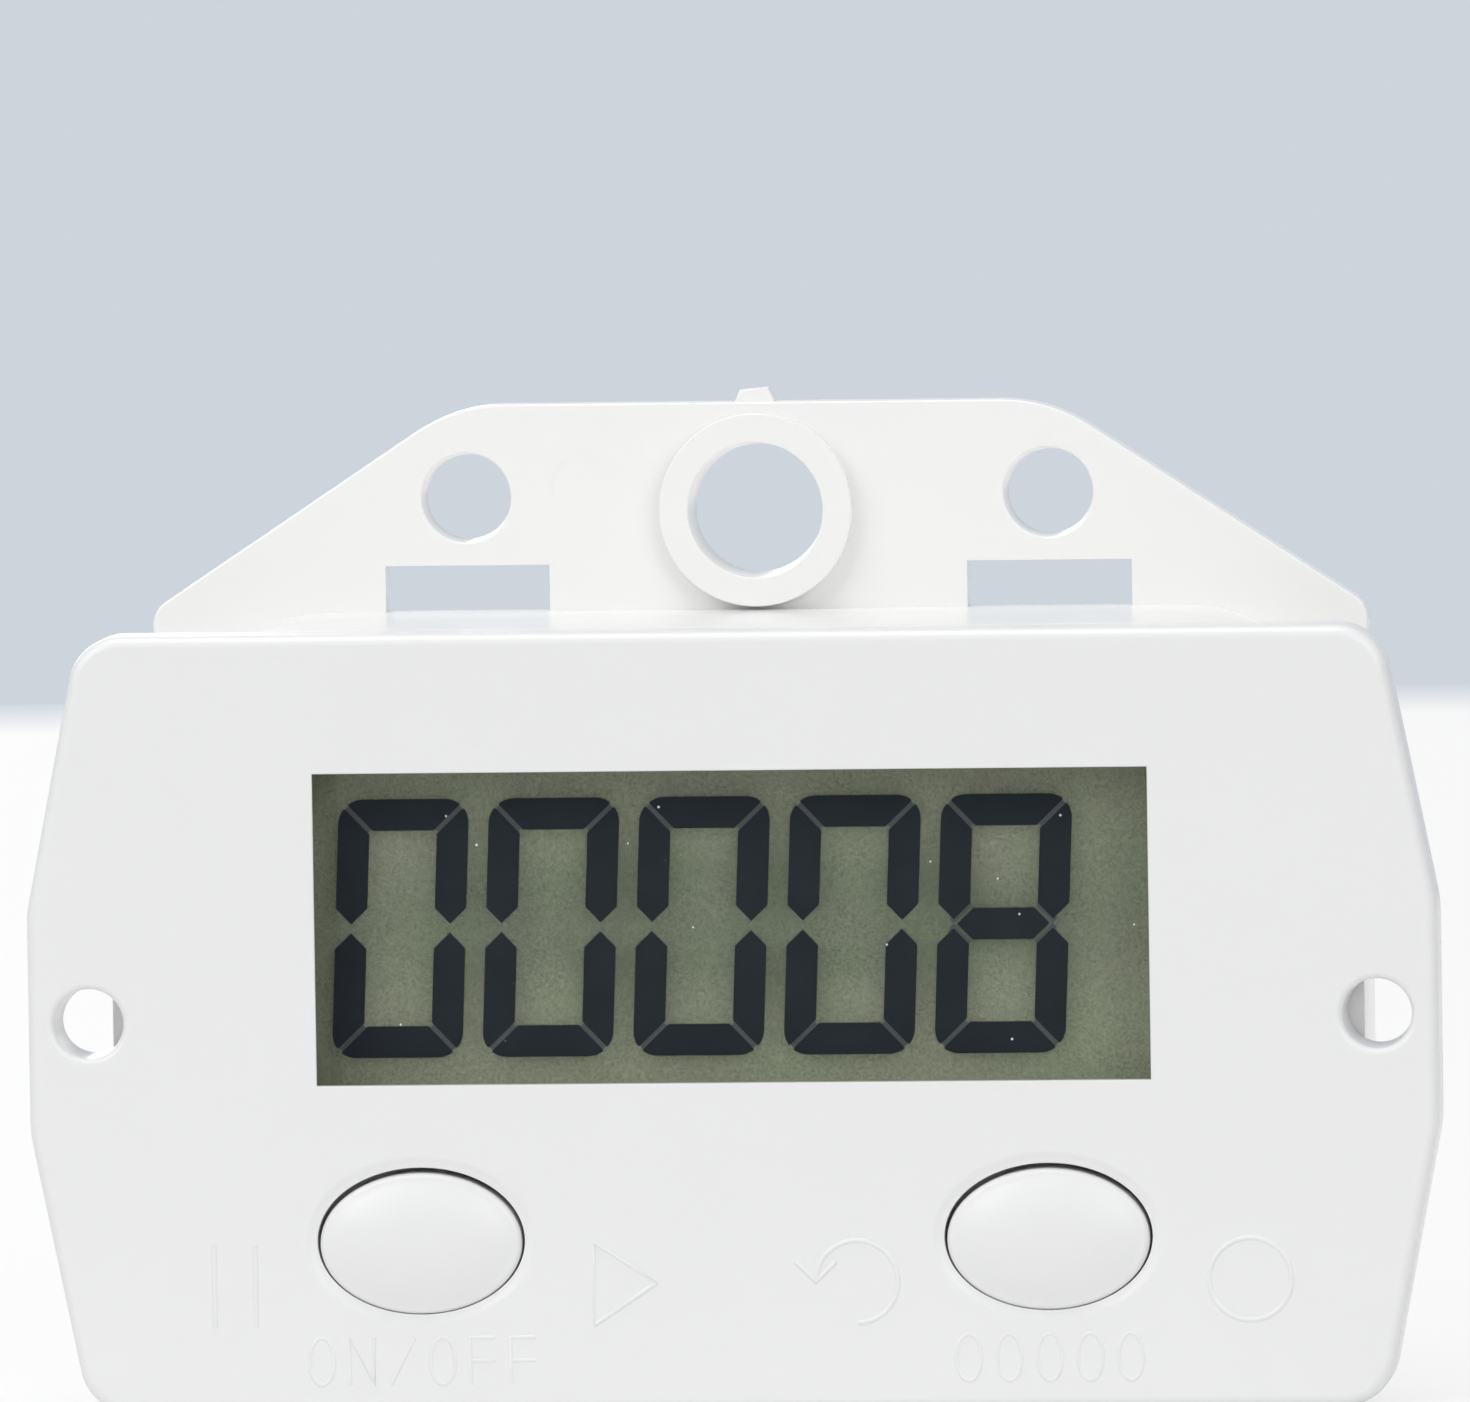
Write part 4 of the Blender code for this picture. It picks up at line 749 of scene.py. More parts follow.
CARRIED = {
    "power_switch_body": SWITCH,
    "reset_switch_body": SWITCH,
    "power_switch_plunger": SWITCH,
    "reset_switch_plunger": SWITCH,
    "lcd_reflector": display_ground("display_reflector", 1.0),
    "lcd_holder": HOLDER,
    "zebra_connector": striped_rubber(),
    "circuit_board": solder_mask(),
    "chip_epoxy_cap": EPOXY,
    "clock_crystal": STEEL,
    "capacitor": CERAMIC,
    "resistor_1": EPOXY,
    "resistor_2": EPOXY,
    "resistor_3": EPOXY,
    "reed_switch_glass": TUBE_GLASS,
    "reed_lead_left": NICKEL,
    "reed_lead_right": NICKEL,
    "button_cell": STEEL,
    "battery_contact_positive": NICKEL,
    "battery_contact_negative": NICKEL,
    "board_screw_1": STEEL,
    "board_screw_2": STEEL,
    "board_screw_3": STEEL,
}
SHEETS = (
    ("lcd_front_polarizer", dusty_film(), "clear_film"),
    ("lcd_front_glass", GLASS, "clear_glass"),
    ("lcd_rear_glass", display_ground("rear_glass", REAR_GLASS_ALPHA), "clear_glass"),
)


def finish_carried_nodes():
    for name, finish in CARRIED.items():
        for material_slot in frame["nodes"][name].material_slots:
            material_slot.material = finish


def front_cover():
    cover = plate("cover_shell", polygon(COVER_OUTLINE), 0.0, COVER_RIM, COVER_EDGE_RADIUS)
    tongue_inset = SHELL_WALL + TONGUE_CLEARANCE
    tongue = polygon(moved_in(SHELL_OUTLINE, tongue_inset))
    hollow = polygon(moved_in(SHELL_OUTLINE, tongue_inset + TONGUE_WALL))
    tongue_back = COVER_RIM + TONGUE_HEIGHT
    combine(cover, [plate("tongue", tongue, COVER_RIM - ROOT, tongue_back)], "UNION")
    openings = [solid("hollow", hollow, [(0.0, COVER_PLATE), (0.0, tongue_back + OVERRUN)])]

    window_x = (WINDOW_FROM_LEFT - WINDOW_FROM_RIGHT) / 2
    window_half = COVER_HALF - (WINDOW_FROM_LEFT + WINDOW_FROM_RIGHT) / 2
    window_top = TOP_Z - WINDOW_FROM_TOP
    window_z = (window_top + WINDOW_FROM_BOTTOM) / 2
    window = rectangle(window_x, window_z, window_half, window_top - window_z)
    opening = hole("window", window, 0.0, COVER_PLATE, WINDOW_RIM)
    for vertex in opening.data.vertices:
        share = max(0.0, vertex.co.y - FACE_Y - WINDOW_RIM) / COVER_PLATE
        vertex.co.x += math.copysign(share * WINDOW_SIDE_DRAFT, vertex.co.x)
        if vertex.co.z < window_z:
            vertex.co.z -= share * WINDOW_BOTTOM_DRAFT
    openings.append(opening)
    for side, x in (("left", -1), ("right", 1)):
        openings.append(key_opening(side + "_key_opening", x * KEY_X))
        ear = circle((x * (COVER_HALF - EAR_HOLE_EDGE), EAR_Z), EAR_HOLE_DIAMETER / 2)
        openings.append(hole(side + "_ear", ear, 0.0, COVER_RIM, EAR_HOLE_RIM, SHELL_LIP, EAR_HOLE_TAPER))
    combine(cover, openings, "DIFFERENCE")

    post_back = POST_FRONT - TONGUE_CLEARANCE
    rods = []
    bores = []
    for place in POST_PLACES:
        boss = circle(place, COVER_BOSS_DIAMETER / 2, SMALL_ROUND_POINTS)
        rods.append(plate("post_boss", boss, COVER_PLATE - ROOT, post_back))
        bore = circle(place, SHANK_RADIUS, SMALL_ROUND_POINTS)
        bores.append(solid("bore", bore, [(0.0, COVER_RIM), (0.0, post_back + OVERRUN)]))
    for place in BOARD_BOSS_PLACES:
        boss = circle(place, BOARD_BOSS_DIAMETER / 2, SMALL_ROUND_POINTS)
        rods.append(plate("board_boss", boss, COVER_PLATE - ROOT, BOARD_FRONT - SHELL_LIP * 2))
    combine(cover, rods, "UNION")
    combine(cover, bores, "DIFFERENCE")
    dress(settle(cover), "root", "white_housing", COVER_WHITE, "front_cover")


def key_opening(name, x):
    """The oval opening of a key, with a shallow dished ring round it."""
    outline = oval(x, KEY_FROM_BOTTOM, KEY_HOLE_WIDTH / 2, KEY_HOLE_HEIGHT / 2)
    profile = [(-DISH_WIDTH, -OVERRUN)]
    for step in range(FILLET_STEPS + 1):
        share = step / FILLET_STEPS
        fall = DISH_DEPTH * math.sin(math.pi / 2 * share) ** 2
        profile.append((-DISH_RIM - (DISH_WIDTH - DISH_RIM) * (1 - share), fall))
    profile += [(-distance, depth) for distance, depth in front_edge(DISH_RIM, DISH_DEPTH)[1:]]
    profile.append((0.0, COVER_PLATE + OVERRUN))
    return solid(name, outline, profile)


def fixing_flange():
    """The plate above the shell with its ring and the remains of its gate."""
    top = TOP_Z + FLANGE_RISE
    foot_z = TOP_Z - FLANGE_OVERLAP
    base_half = SHELL_HALF - SHELL_SIDE_DRAFT
    base_z = TOP_Z + FLANGE_BASE_STEP
    run = (base_half - FLANGE_TOP_WIDTH / 2) / (top - base_z)
    outline = polygon([
        (base_half, foot_z, 0.0),
        (base_half, base_z - FLANGE_RIGHT_DROP, FLANGE_BASE_RADIUS),
        (FLANGE_TOP_WIDTH / 2 - run * FLANGE_RIGHT_DROP, top, FLANGE_TOP_RADIUS),
        (run * FLANGE_LEFT_DROP - FLANGE_TOP_WIDTH / 2, top, FLANGE_TOP_RADIUS),
        (-base_half, base_z - FLANGE_LEFT_DROP, FLANGE_BASE_RADIUS),
        (-base_half, foot_z, 0.0),
    ])
    flange = plate("flange", outline, WALL_FRONT, DEPTH, FLANGE_EDGE_RADIUS, FLANGE_BACK_RADIUS)
    ring_outline = circle(RING_PLACE, RING_DIAMETER / 2)
    ring = plate("ring", ring_outline, RING_FRONT, WALL_FRONT + ROOT, RING_EDGE_RADIUS)
    gate_outline = polygon([
        (-GATE_BASE_WIDTH / 2 - GATE_LEAN, top - GATE_ROOT, 0.0),
        (GATE_BASE_WIDTH / 2, top - GATE_ROOT, 0.0),
        (GATE_BASE_WIDTH / 2, top + GATE_EDGE, 0.0),
        (GATE_TOP_WIDTH / 2 - GATE_LEAN, top + GATE_HEIGHT, 0.0),
        (-GATE_TOP_WIDTH / 2 - GATE_LEAN, top + GATE_HEIGHT - GATE_SLANT, 0.0),
        (-GATE_BASE_WIDTH / 2 - GATE_LEAN, top + GATE_EDGE, 0.0),
    ])
    gate_front = (WALL_FRONT + DEPTH - GATE_THICKNESS) / 2
    gate = plate("gate", gate_outline, gate_front, gate_front + GATE_THICKNESS, GATE_EDGE, GATE_EDGE)
    return [flange, ring, gate]


def flange_openings():
    through = [(0.0, WALL_FRONT - OVERRUN), (0.0, DEPTH + OVERRUN)]
    bore = circle(RING_PLACE, RING_BORE / 2)
    rim = RING_BORE_RIM
    openings = [hole("ring_bore", bore, RING_FRONT, DEPTH, rim, rim, RING_BORE_TAPER)]
    for side, sign in (("left", -1), ("right", 1)):
        x = sign * FLANGE_HOLE_SPACING / 2
        bore = circle((x, TOP_Z + FLANGE_HOLE_RISE), FLANGE_HOLE_DIAMETER / 2)
        rim = FLANGE_HOLE_RIM
        openings.append(hole(side + "_hole", bore, WALL_FRONT, DEPTH, rim, rim, FLANGE_HOLE_TAPER))
        slot = rectangle(x, TOP_Z + SLOT_HEIGHT / 2, SLOT_WIDTH / 2, SLOT_HEIGHT / 2)
        openings.append(solid(side + "_slot", slot, through))
    mark = circle(EJECTOR_PLACE, EJECTOR_DIAMETER / 2)
    openings.append(solid("ejector", mark, [through[0], (0.0, WALL_FRONT + EJECTOR_DEPTH)]))
    return openings


def back_shell():
    profile = front_edge(SHELL_LIP, SHELL_FRONT) + back_edge(SHELL_EDGE_RADIUS, DEPTH)
    shell = solid("housing_shell", polygon(SHELL_OUTLINE), profile)
    share = (SHELL_HALF - SHELL_SIDE_DRAFT) / SHELL_HALF
    for vertex in shell.data.vertices:
        depth = vertex.co.y - FACE_Y
        travelled = (depth - SHELL_FRONT) / (DEPTH - SHELL_FRONT)
        vertex.co.x *= 1 - (1 - share) * travelled
    inside = polygon(moved_in(SHELL_OUTLINE, SHELL_WALL))
    cavity = solid("cavity", inside, [(0.0, SHELL_FRONT - OVERRUN), (0.0, WALL_FRONT)])
    combine(shell, [cavity], "DIFFERENCE")
    combine(shell, fixing_flange(), "UNION")

    blanks = []
    for place in POST_PLACES:
        post = circle(place, POST_DIAMETER / 2, SMALL_ROUND_POINTS)
        blanks.append(plate("post", post, POST_FRONT, WALL_FRONT + ROOT))
    pocket = circle(CELL_PLACE, POCKET_RADIUS + POCKET_WALL)
    blanks.append(plate("pocket", pocket, POCKET_FRONT, WALL_FRONT + ROOT))
    bayonet = circle(CELL_PLACE, UNDERCUT_RADIUS + UNDERCUT_WALL)
    blanks.append(plate("bayonet", bayonet, UNDERCUT_FRONT - LEDGE_THICKNESS, WALL_FRONT + ROOT))
    combine(shell, blanks, "UNION")

    openings = flange_openings()
    recess_front = LEDGE_FRONT + LEDGE_THICKNESS
    recess = RECESS_CLEARANCE + CAP_RADIUS
    pocket_profile = [
        (POCKET_RADIUS, FLOOR_BACK),
        (POCKET_RADIUS, UNDERCUT_FRONT),
        (UNDERCUT_RADIUS, UNDERCUT_FRONT),
        (UNDERCUT_RADIUS, LEDGE_FRONT),
        (LEDGE_RADIUS, LEDGE_FRONT),
        (LEDGE_RADIUS, recess_front),
        (recess, recess_front),
    ]
    pocket_profile += [(recess + distance, depth) for distance, depth in back_edge(RECESS_RIM, DEPTH)]
    pocket_profile.append((recess + RECESS_RIM, DEPTH + OVERRUN))
    axis = circle(CELL_PLACE, 0.0)
    openings.append(solid("pocket_way", axis, [(-radius, depth) for radius, depth in pocket_profile]))
    for place in POST_PLACES:
        floor = DEPTH - COUNTERBORE_DEPTH
        head = COUNTERBORE_DIAMETER / 2
        bore_profile = [(POST_BORE / 2, POST_FRONT - OVERRUN), (POST_BORE / 2, floor), (head, floor)]
        bore_profile += [(head + distance, depth) for distance, depth in back_edge(COUNTERBORE_RIM, DEPTH)]
        bore_profile.append((head + COUNTERBORE_RIM, DEPTH + OVERRUN))
        axis = circle(place, 0.0, SMALL_ROUND_POINTS)
        openings.append(solid("counterbore", axis, [(-radius, depth) for radius, depth in bore_profile]))
    openings += lock_marks()
    combine(shell, openings, "DIFFERENCE")
    dress(settle(shell), "root", "white_housing", HOUSING_PAINTED_LIGHTER, "back_shell")


def lock_marks():
    """Marks sunk into the back wall: a disc where the cap is locked and a ring where it comes out."""
    reach = CAP_RADIUS + LOCK_MARK_OUTSET
    sunk = [(0.0, DEPTH - INDEX_DEPTH), (0.0, DEPTH + OVERRUN)]
    locked = circle((0.0, CELL_Z + reach), LOCK_MARK_RADIUS, SMALL_ROUND_POINTS)
    place = (reach * math.sin(LOCK_TURN), CELL_Z + reach * math.cos(LOCK_TURN))
    free = solid("free_mark", circle(place, LOCK_MARK_RADIUS, SMALL_ROUND_POINTS), sunk)
    bore = circle(place, LOCK_MARK_BORE, SMALL_ROUND_POINTS)
    core = solid("free_core", bore, [(0.0, SHELL_FRONT), (0.0, DEPTH + OVERRUN * 2)])
    combine(free, [core], "DIFFERENCE")
    return [solid("locked_mark", locked, sunk), settle(free)]


def key(name, x, body, node):
    """An oval domed key with a retaining rim behind the cover, hollow round its stem."""
    half_width = KEY_HOLE_WIDTH / 2 - KEY_CLEARANCE
    half_height = KEY_HOLE_HEIGHT / 2 - KEY_CLEARANCE
    crown_width = half_width - KEY_EDGE_RADIUS
    crown_height = half_height - KEY_EDGE_RADIUS
    middle_x = x + KEY_OFFSET[0]
    middle_z = KEY_FROM_BOTTOM + KEY_OFFSET[1]

    def outline(distance):
        inner = max(0.0, distance - KEY_EDGE_RADIUS)
        width = half_width - distance + inner - inner * crown_width / crown_height
        return oval(middle_x, middle_z, width, half_height - distance)(0.0)

    rise = KEY_DOME_RISE + KEY_EDGE_SINK
    profile = []
    for step in range(1, DOME_RINGS):
        share = step / DOME_RINGS
        profile.append((half_height - crown_height * share, rise * share**DOME_POWER - KEY_DOME_RISE))
    profile += front_edge(KEY_EDGE_RADIUS, KEY_EDGE_SINK)
    rim_front = COVER_PLATE + KEY_RIM_GAP
    rim_back = rim_front + KEY_RIM_THICKNESS
    profile += [(0.0, rim_front), (-KEY_RIM_WIDTH, rim_front), (-KEY_RIM_WIDTH, rim_back)]
    cap = solid(name, outline, profile)
    hollow = oval(middle_x, middle_z, half_width - KEY_SKIN, half_height - KEY_SKIN)
    well = solid("hollow", hollow, [(0.0, KEY_SKIN), (0.0, rim_back + OVERRUN)])
    combine(cap, [well], "DIFFERENCE")
    stem_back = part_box(node)[1][1] - FACE_Y
    stem = oval(x, KEY_FROM_BOTTOM, KEY_STEM_DIAMETER / 2, KEY_STEM_DIAMETER / 2, SMALL_ROUND_POINTS)
    combine(cap, [plate("stem", stem, KEY_SKIN - ROOT, stem_back)], "UNION")
    dress(settle(cap), body, "white_key", KEY_WHITE, node)


def battery_cap():
    """A round cap with a coin slot and an arrow that shows how far it is turned."""
    outline = circle(CELL_PLACE, CAP_RADIUS)
    head_front = CAP_BACK - CAP_HEAD_THICKNESS
    profile = [(0.0, head_front)] + back_edge(CAP_EDGE_RADIUS, CAP_BACK)
    neck = CAP_RADIUS - CAP_NECK_RADIUS
    cap = solid("coin_cap", outline, [(neck, CAP_FRONT), (neck, head_front)] + profile)
    slot = rectangle(0.0, CELL_Z, COIN_SLOT_LENGTH / 2, COIN_SLOT_WIDTH / 2, COIN_SLOT_WIDTH / 3)
    flare = [(-distance, depth) for distance, depth in back_edge(COIN_SLOT_RIM, CAP_BACK)]
    slot_profile = [(0.0, CAP_BACK - COIN_SLOT_DEPTH)] + flare + [(-COIN_SLOT_RIM, CAP_BACK + OVERRUN)]
    arrow_z = CELL_Z + CAP_RADIUS - INDEX_INSET
    arrow = polygon([
        (-INDEX_HALF, arrow_z - INDEX_HALF, 0.0),
        (INDEX_HALF, arrow_z - INDEX_HALF, 0.0),
        (0.0, arrow_z + INDEX_HALF, 0.0),
    ])
    arrow_profile = [(COIN_SLOT_RIM, CAP_BACK - INDEX_DEPTH), (0.0, CAP_BACK), (0.0, CAP_BACK + OVERRUN)]
    cutters = [solid("coin_slot", slot, slot_profile), solid("arrow", arrow, arrow_profile)]
    combine(cap, cutters, "DIFFERENCE")
    dress(settle(cap), "battery_cap", "white_housing", HOUSING_PAINTED_LIGHTER, "battery_cap")


def housing_screws():
    """Round-headed screws with a cross recess and a pointed tip."""
    shank = HEAD_RADIUS - SHANK_RADIUS
    tip = HEAD_RADIUS - SHANK_RADIUS * SHANK_TIP_SHARE
    front = SCREW_SEAT - SHANK_LENGTH
    back = SCREW_SEAT + HEAD_HEIGHT
    profile = [(tip, front), (shank, front + SHANK_TIP), (shank, SCREW_SEAT), (0.0, SCREW_SEAT)]
    profile += back_edge(HEAD_EDGE_RADIUS, back)
    arm_profile = [(RECESS_TAPER, back - RECESS_DEPTH), (0.0, back), (0.0, back + OVERRUN)]
    span = RECESS_SPAN / 2
    width = RECESS_WIDTH / 2
    for index, place in enumerate(POST_PLACES, start=1):
        screw = solid(f"cross_screw_{index}", circle(place, HEAD_RADIUS, SMALL_ROUND_POINTS), profile)
        arms = [rectangle(*place, *halves) for halves in ((span, width), (width, span))]
        combine(screw, [solid("recess", arm, arm_profile) for arm in arms], "DIFFERENCE")
        dress(settle(screw), "root", "steel", STEEL, f"housing_screw_{index}")


def display_sheets():
    """The film and the two glasses: clear, so they cast no shadow on what lies behind them."""
    for name, finish, slot in SHEETS:
        low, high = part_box(name)
        middle_z = (low[2] + high[2]) / 2
        outline = rectangle(0.0, middle_z, high[0], high[2] - middle_z, SHEET_CORNER)
        front, back = low[1] - FACE_Y, high[1] - FACE_Y
        sheet = plate(name.removeprefix("lcd_"), outline, front, back, SHEET_EDGE, SHEET_EDGE)
        dress(settle(sheet), "root", slot, finish, name)
        sheet.visible_shadow = False
        sheet.visible_diffuse = False


def segment_outlines():
    """The seven segments of a digit about its middle, before its slant, as lists of (x, z)."""
    gap = DIGIT_GAP / math.sqrt(2)
    point = DIGIT_POINT_GAP / 2
    arc = [math.pi / 4 * step / FILLET_STEPS for step in range(FILLET_STEPS + 1)]
    corner_x = DIGIT_HALF_WIDTH - DIGIT_CORNER
    corner_z = DIGIT_HALF_HEIGHT - DIGIT_CORNER

    shoulder = [
        (corner_x + DIGIT_CORNER * math.sin(angle), corner_z + DIGIT_CORNER * math.cos(angle))
        for angle in reversed(arc)
    ]
    shoulder[0] = (shoulder[0][0] - gap, shoulder[0][1])
    top = [(-DIGIT_INNER_X + gap, DIGIT_INNER_Z), (DIGIT_INNER_X - gap, DIGIT_INNER_Z)]
    top += shoulder + [(-x, z) for x, z in reversed(shoulder)]

    bend = [
        (corner_x + DIGIT_CORNER * math.cos(angle), corner_z + DIGIT_CORNER * math.sin(angle))
        for angle in arc
    ]
    bend[-1] = (bend[-1][0], bend[-1][1] - gap)
    side = [
        (DIGIT_INNER_X, DIGIT_INNER_Z - gap),
        (DIGIT_INNER_X, point + DIGIT_BAR / 2),
        (DIGIT_INNER_X + DIGIT_BAR / 2, point),
        (DIGIT_HALF_WIDTH, point + DIGIT_BAR / 2),
    ]
    side += bend

    tip = DIGIT_INNER_X + DIGIT_BAR / 2 - gap
    shoulder_x = tip - DIGIT_BAR / 2
    middle = [(-tip, 0.0), (-shoulder_x, -DIGIT_BAR / 2), (shoulder_x, -DIGIT_BAR / 2), (tip, 0.0)]
    middle += [(shoulder_x, DIGIT_BAR / 2), (-shoulder_x, DIGIT_BAR / 2)]
    lower_side = [(x, -z) for x, z in reversed(side)]
    return {
        "a": top,
        "b": list(reversed(side)),
        "c": list(reversed(lower_side)),
        "d": [(x, -z) for x, z in reversed(top)],
        "e": [(-x, z) for x, z in lower_side],
        "f": [(-x, z) for x, z in side],
        "g": middle,
    }


LIT = {"0": "abcdef", "8": "abcdefg"}


def printed(name, finish, outlines, depth, thickness):
    """Thin plates with the digits' slant; each outline comes with the middle x of its digit."""
    shape = bmesh.new()
    for middle_x, outline in outlines:
        slanted = [(middle_x + x + z * DIGIT_SLANT, DIGIT_Z + z) for x, z in outline]
        sleeve(shape, [[(x, FACE_Y + depth + back, z) for x, z in slanted] for back in (0.0, thickness)])
    dress(add_shape(name, shape), "root", "epoxy_black", finish)


def digit_places():
    return [(DIGIT_FIRST_X + index * DIGIT_PITCH, digit) for index, digit in enumerate(DIGITS)]


def display_digits():
    outlines = segment_outlines()
    for index, (x, digit) in enumerate(digit_places(), start=1):
        lit = [(x, outlines[letter]) for letter in LIT[digit]]
        printed(f"digit_{index}", SEGMENT_INK_AND_HAZE, lit, DIGIT_DEPTH, DIGIT_THICKNESS)


def line_strip(start, end):
    """A strip along a line between segments, which runs at 45 degrees."""
    across_x = math.copysign(DIGIT_GAP / 2, end[1] - start[1])
    across_z = math.copysign(DIGIT_GAP / 2, end[0] - start[0])
    return [
        (start[0] - across_x, start[1] + across_z),
        (start[0] + across_x, start[1] - across_z),
        (end[0] + across_x, end[1] - across_z),
        (end[0] - across_x, end[1] + across_z),
    ]


def painted_gap_shade():
    """Painted shade: dull dark lines between the segments of a digit, just behind them, standing for the shade
    in the narrow gaps.
    """
    cut = DIGIT_CORNER * (1 - 1 / math.sqrt(2)) + DIGIT_GAP / 4
    side = DIGIT_GAP / 2
    shoulder = (DIGIT_POINT_GAP + DIGIT_BAR) / 2
    corner = line_strip((DIGIT_INNER_X, DIGIT_INNER_Z), (DIGIT_HALF_WIDTH - cut, DIGIT_HALF_HEIGHT - cut))
    waist = line_strip((DIGIT_INNER_X, shoulder), (DIGIT_INNER_X + shoulder - side, side))
    outlines = []
    for middle_x, digit in digit_places():
        for strip in (corner, waist) if digit == "8" else (corner,):
            for sign_x in (-1, 1):
                for sign_z in (-1, 1):
                    outlines.append((middle_x, [(sign_x * x, sign_z * z) for x, z in strip]))
    printed("digit_gap_shade", GAP_SHADE, outlines, DIGIT_DEPTH + DIGIT_THICKNESS, GAP_SHADE_THICKNESS)


def strokes(name, paths, stroke, rise):
    """A raised mark on the face, drawn with round strokes that are mostly sunk into it."""
    curve = bpy.data.curves.new(name, "CURVE")
    curve.dimensions = "3D"
    curve.bevel_depth = stroke
    curve.bevel_resolution = 3
    curve.use_fill_caps = True
    for points in paths:
        spline = curve.splines.new("POLY")
        spline.points.add(len(points) - 1)
        for point, (x, z) in zip(spline.points, points):
            point.co = (x, FACE_Y + stroke - rise, z, 1.0)
    dress(add(name, curve), "root", "white_housing", COVER_WHITE)


def arc_path(x, z, half_width, half_height, start, end):
    steps = ROUND_POINTS // 3
    turns = [math.radians(start + (end - start) * step / steps) for step in range(steps + 1)]
    return [(x + half_width * math.cos(turn), z + half_height * math.sin(turn)) for turn in turns]


def face_marks():
    """Plain marks on the face: pause bars, a start arrow, a turn-back arrow and a nought."""
    bars_x, start_x, back_x, nought_x = MARK_X
    half = MARK_RADIUS
    apart = half / 2
    bars = [[(bars_x + x, MARK_Z - half), (bars_x + x, MARK_Z + half)] for x in (-apart, apart)]
    corners = [(start_x - apart, MARK_Z - half), (start_x + half, MARK_Z), (start_x - apart, MARK_Z + half)]
    tip = back_x - half
    hook = [(tip - apart, MARK_Z + apart), (tip, MARK_Z), (tip + apart, MARK_Z + apart)]
    marks = {
        "pause_mark": bars,
        "start_mark": [corners + corners[:2]],
        "back_mark": [arc_path(back_x, MARK_Z, half, half, 180, -90), hook],
        "nought_mark": [arc_path(nought_x, MARK_Z, half, half, 0, 360)],
    }
    for name, paths in marks.items():
        strokes(name, paths, MARK_STROKE, MARK_RISE)


def letter(character, x):
    """A plain letter or figure as strokes, about its middle x."""
    left, right = x - LETTER_WIDTH / 2, x + LETTER_WIDTH / 2
    middle = LETTER_Z + LETTER_HEIGHT / 2
    top = LETTER_Z + LETTER_HEIGHT
    if character in "O0":
        return [arc_path(x, middle, LETTER_WIDTH / 2, LETTER_HEIGHT / 2, 0, 360)]
    if character == "N":
        return [[(left, LETTER_Z), (left, top), (right, LETTER_Z), (right, top)]]
    if character == "F":
        return [[(left, LETTER_Z), (left, top), (right, top)], [(left, middle), (right, middle)]]
    return [[(left, LETTER_Z), (right, top)]]


def face_letters():
    """Plain raised lettering below the keys: on and off, and five noughts."""
    for name, x, word in (("power_letters", -KEY_X, "ON/OFF"), ("reset_letters", KEY_X, "00000")):
        start = x - LETTER_PITCH * (len(word) - 1) / 2
        paths = []
        for index, character in enumerate(word):
            paths += letter(character, start + index * LETTER_PITCH)
        strokes(name, paths, LETTER_STROKE, LETTER_RISE)


def seen_directly(tree):
    """One for rays from the camera and for what gloss and glass show, nought for the light they scatter."""
    rays = tree.nodes.new("ShaderNodeLightPath").outputs
    gloss = maths(tree, "MAXIMUM", rays["Is Camera Ray"], rays["Is Glossy Ray"])
    return maths(tree, "MAXIMUM", gloss, rays["Is Transmission Ray"])


def floor():
    """A pale disc that fades into the backdrop; seen directly it is mostly white, with the shadow on it."""
    shape = bmesh.new()
    bmesh.ops.create_circle(shape, cap_ends=True, segments=FLOOR_POINTS, radius=FLOOR_RADIUS)
    piece = add_shape("floor", shape)
    material, tree, shader = shader_material("floor", FLOOR_COLOUR, 0.6)
    far = tree.nodes.new("ShaderNodeVectorMath")
    far.operation = "LENGTH"
    tree.links.new(own_place(tree), far.inputs[0])
    fade = spread(tree, far.outputs["Value"], 0.0, 1.0, FLOOR_RADIUS - FLOOR_FADE, FLOOR_RADIUS)
    lit = blend_colours(tree, fade, FLOOR_COLOUR, BACKDROP_COLOUR)
    tree.links.new(lit, shader.inputs["Base Color"])
    white = tree.nodes.new("ShaderNodeEmission")
    tree.links.new(blend_colours(tree, fade, (1.0, 1.0, 1.0), BACKDROP_COLOUR), white.inputs["Color"])
    share = spread(tree, seen_directly(tree), 0.0, FLOOR_WHITE_SHARE, 0.0, 1.0)
    mix_shaders(tree, share, shader.outputs["BSDF"], white.outputs["Emission"], "Material Output")
    piece.data.materials.append(material)


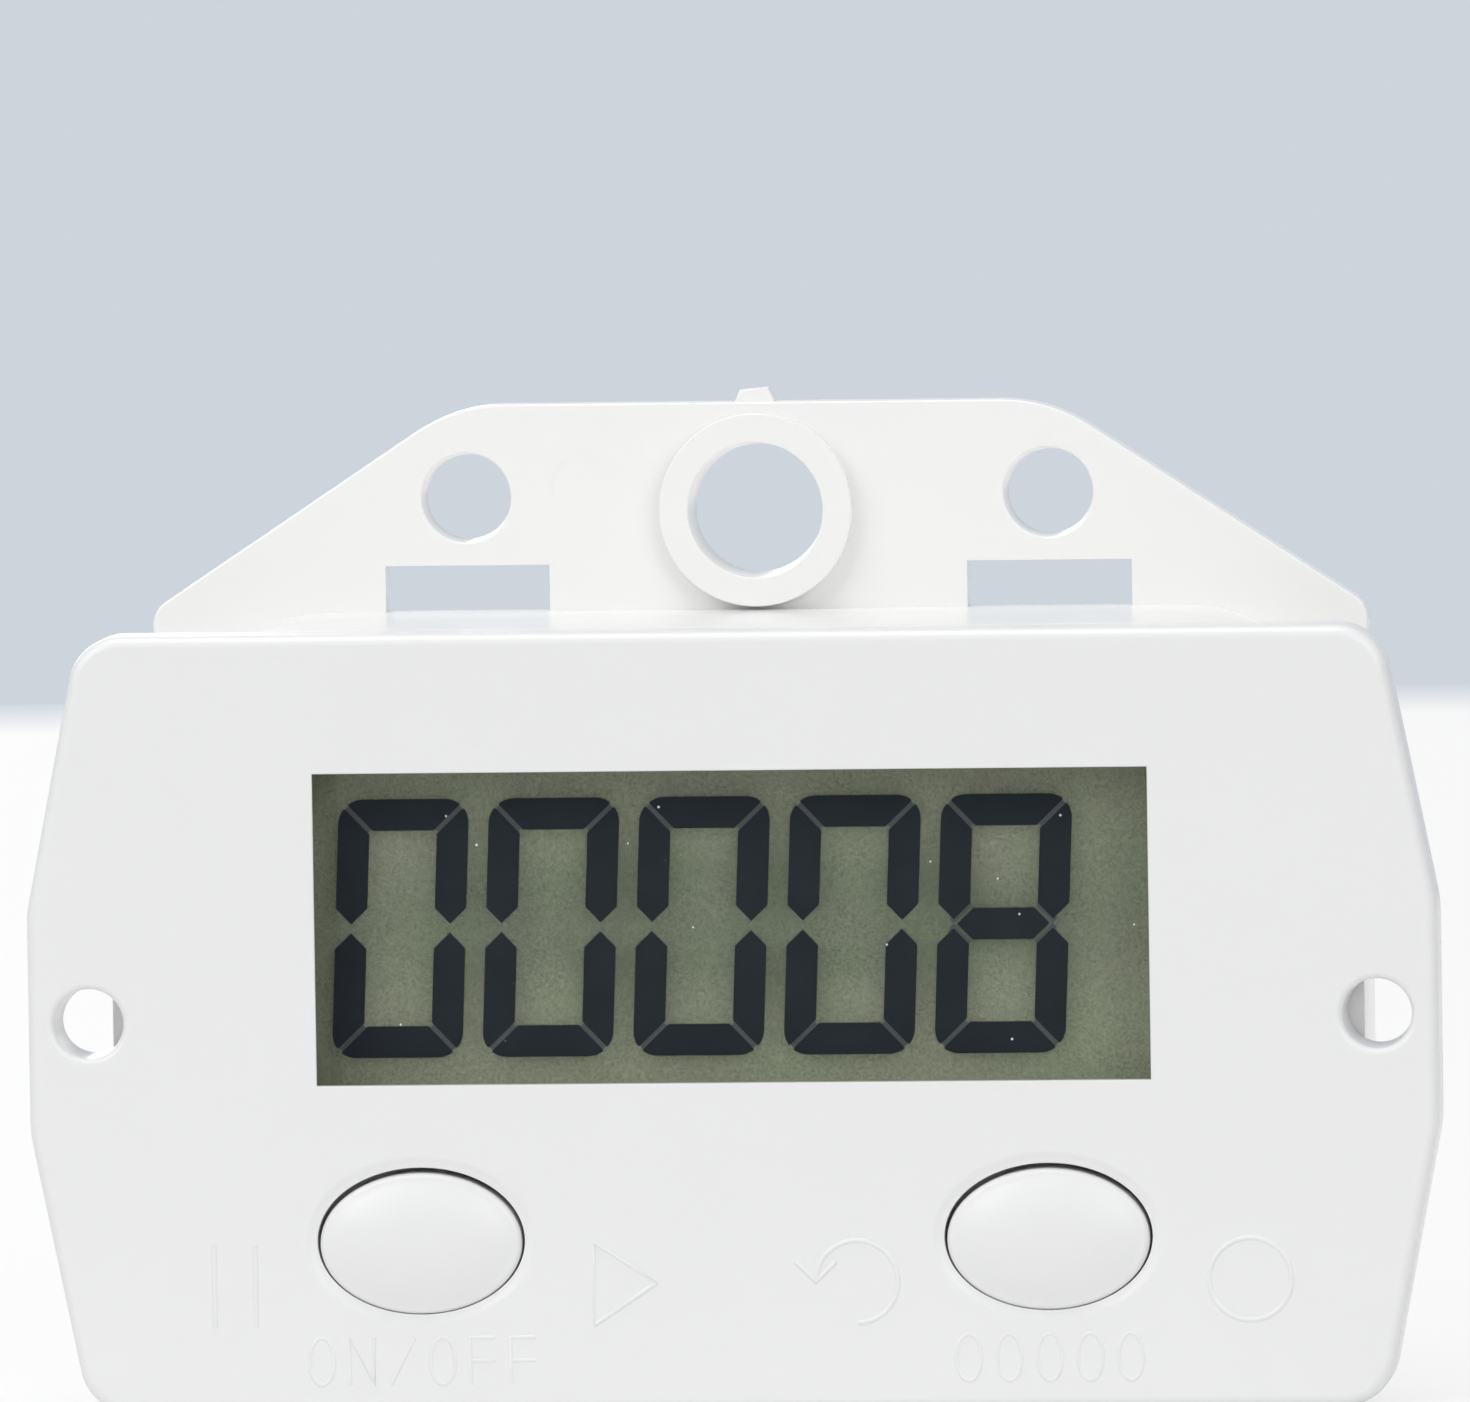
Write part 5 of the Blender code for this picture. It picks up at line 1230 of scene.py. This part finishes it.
def world():
    """Even studio light, with the backdrop's own colour for what looks straight at it."""
    studio = bpy.data.worlds.new("studio")
    bpy.context.scene.world = studio
    studio.use_nodes = True
    tree = studio.node_tree
    backdrop = tree.nodes["Background"]
    backdrop.inputs["Color"].default_value = (*BACKDROP_COLOUR, 1.0)
    light = tree.nodes.new("ShaderNodeBackground")
    light.inputs["Color"].default_value = (1.0, 1.0, 1.0, 1.0)
    light.inputs["Strength"].default_value = WORLD_LIGHT
    shaders = light.outputs["Background"], backdrop.outputs["Background"]
    mix_shaders(tree, seen_directly(tree), *shaders, "World Output")


def lamps():
    target = Vector((0.0, 0.0, TOP_Z / 2))
    for name, (place, size, power) in LAMPS.items():
        data = bpy.data.lights.new(name, "AREA")
        data.size = size
        data.energy = power
        lamp = bpy.data.objects.new(name, data)
        bpy.context.scene.collection.objects.link(lamp)
        lamp.location = place
        lamp.rotation_euler = (target - Vector(place)).to_track_quat("-Z", "Y").to_euler()


def camera():
    data = bpy.data.cameras.new("camera")
    data.sensor_width = SENSOR_WIDTH
    data.lens = FOCAL_PIXELS * SENSOR_WIDTH / IMAGE_WIDTH
    piece = bpy.data.objects.new("camera", data)
    bpy.context.scene.collection.objects.link(piece)
    bpy.context.scene.camera = piece
    sine, cosine = math.sin(CAMERA_AZIMUTH), math.cos(CAMERA_AZIMUTH)
    flat = math.cos(CAMERA_ELEVATION)
    back = Vector((sine * flat, -cosine * flat, math.sin(CAMERA_ELEVATION)))
    right = Vector((cosine, sine, 0.0))
    up = back.cross(right)
    rolled_right = right * math.cos(CAMERA_ROLL) + up * math.sin(CAMERA_ROLL)
    rolled_up = up * math.cos(CAMERA_ROLL) - right * math.sin(CAMERA_ROLL)
    turned = Matrix((rolled_right, rolled_up, back)).transposed().to_4x4()
    piece.matrix_world = Matrix.Translation(Vector(CAMERA_TARGET) + back * CAMERA_DISTANCE) @ turned
    data.clip_start = CAMERA_DISTANCE / CLIP_RATIO
    data.clip_end = CAMERA_DISTANCE * CLIP_RATIO


finish_carried_nodes()
front_cover()
back_shell()
key("power_key_cap", -KEY_X, "power_key", "power_button")
key("reset_key_cap", KEY_X, "reset_key", "reset_button")
battery_cap()
housing_screws()
display_sheets()
display_digits()
painted_gap_shade()
face_marks()
face_letters()
floor()
world()
lamps()
camera()
bpy.context.scene.view_settings.view_transform = "Standard"
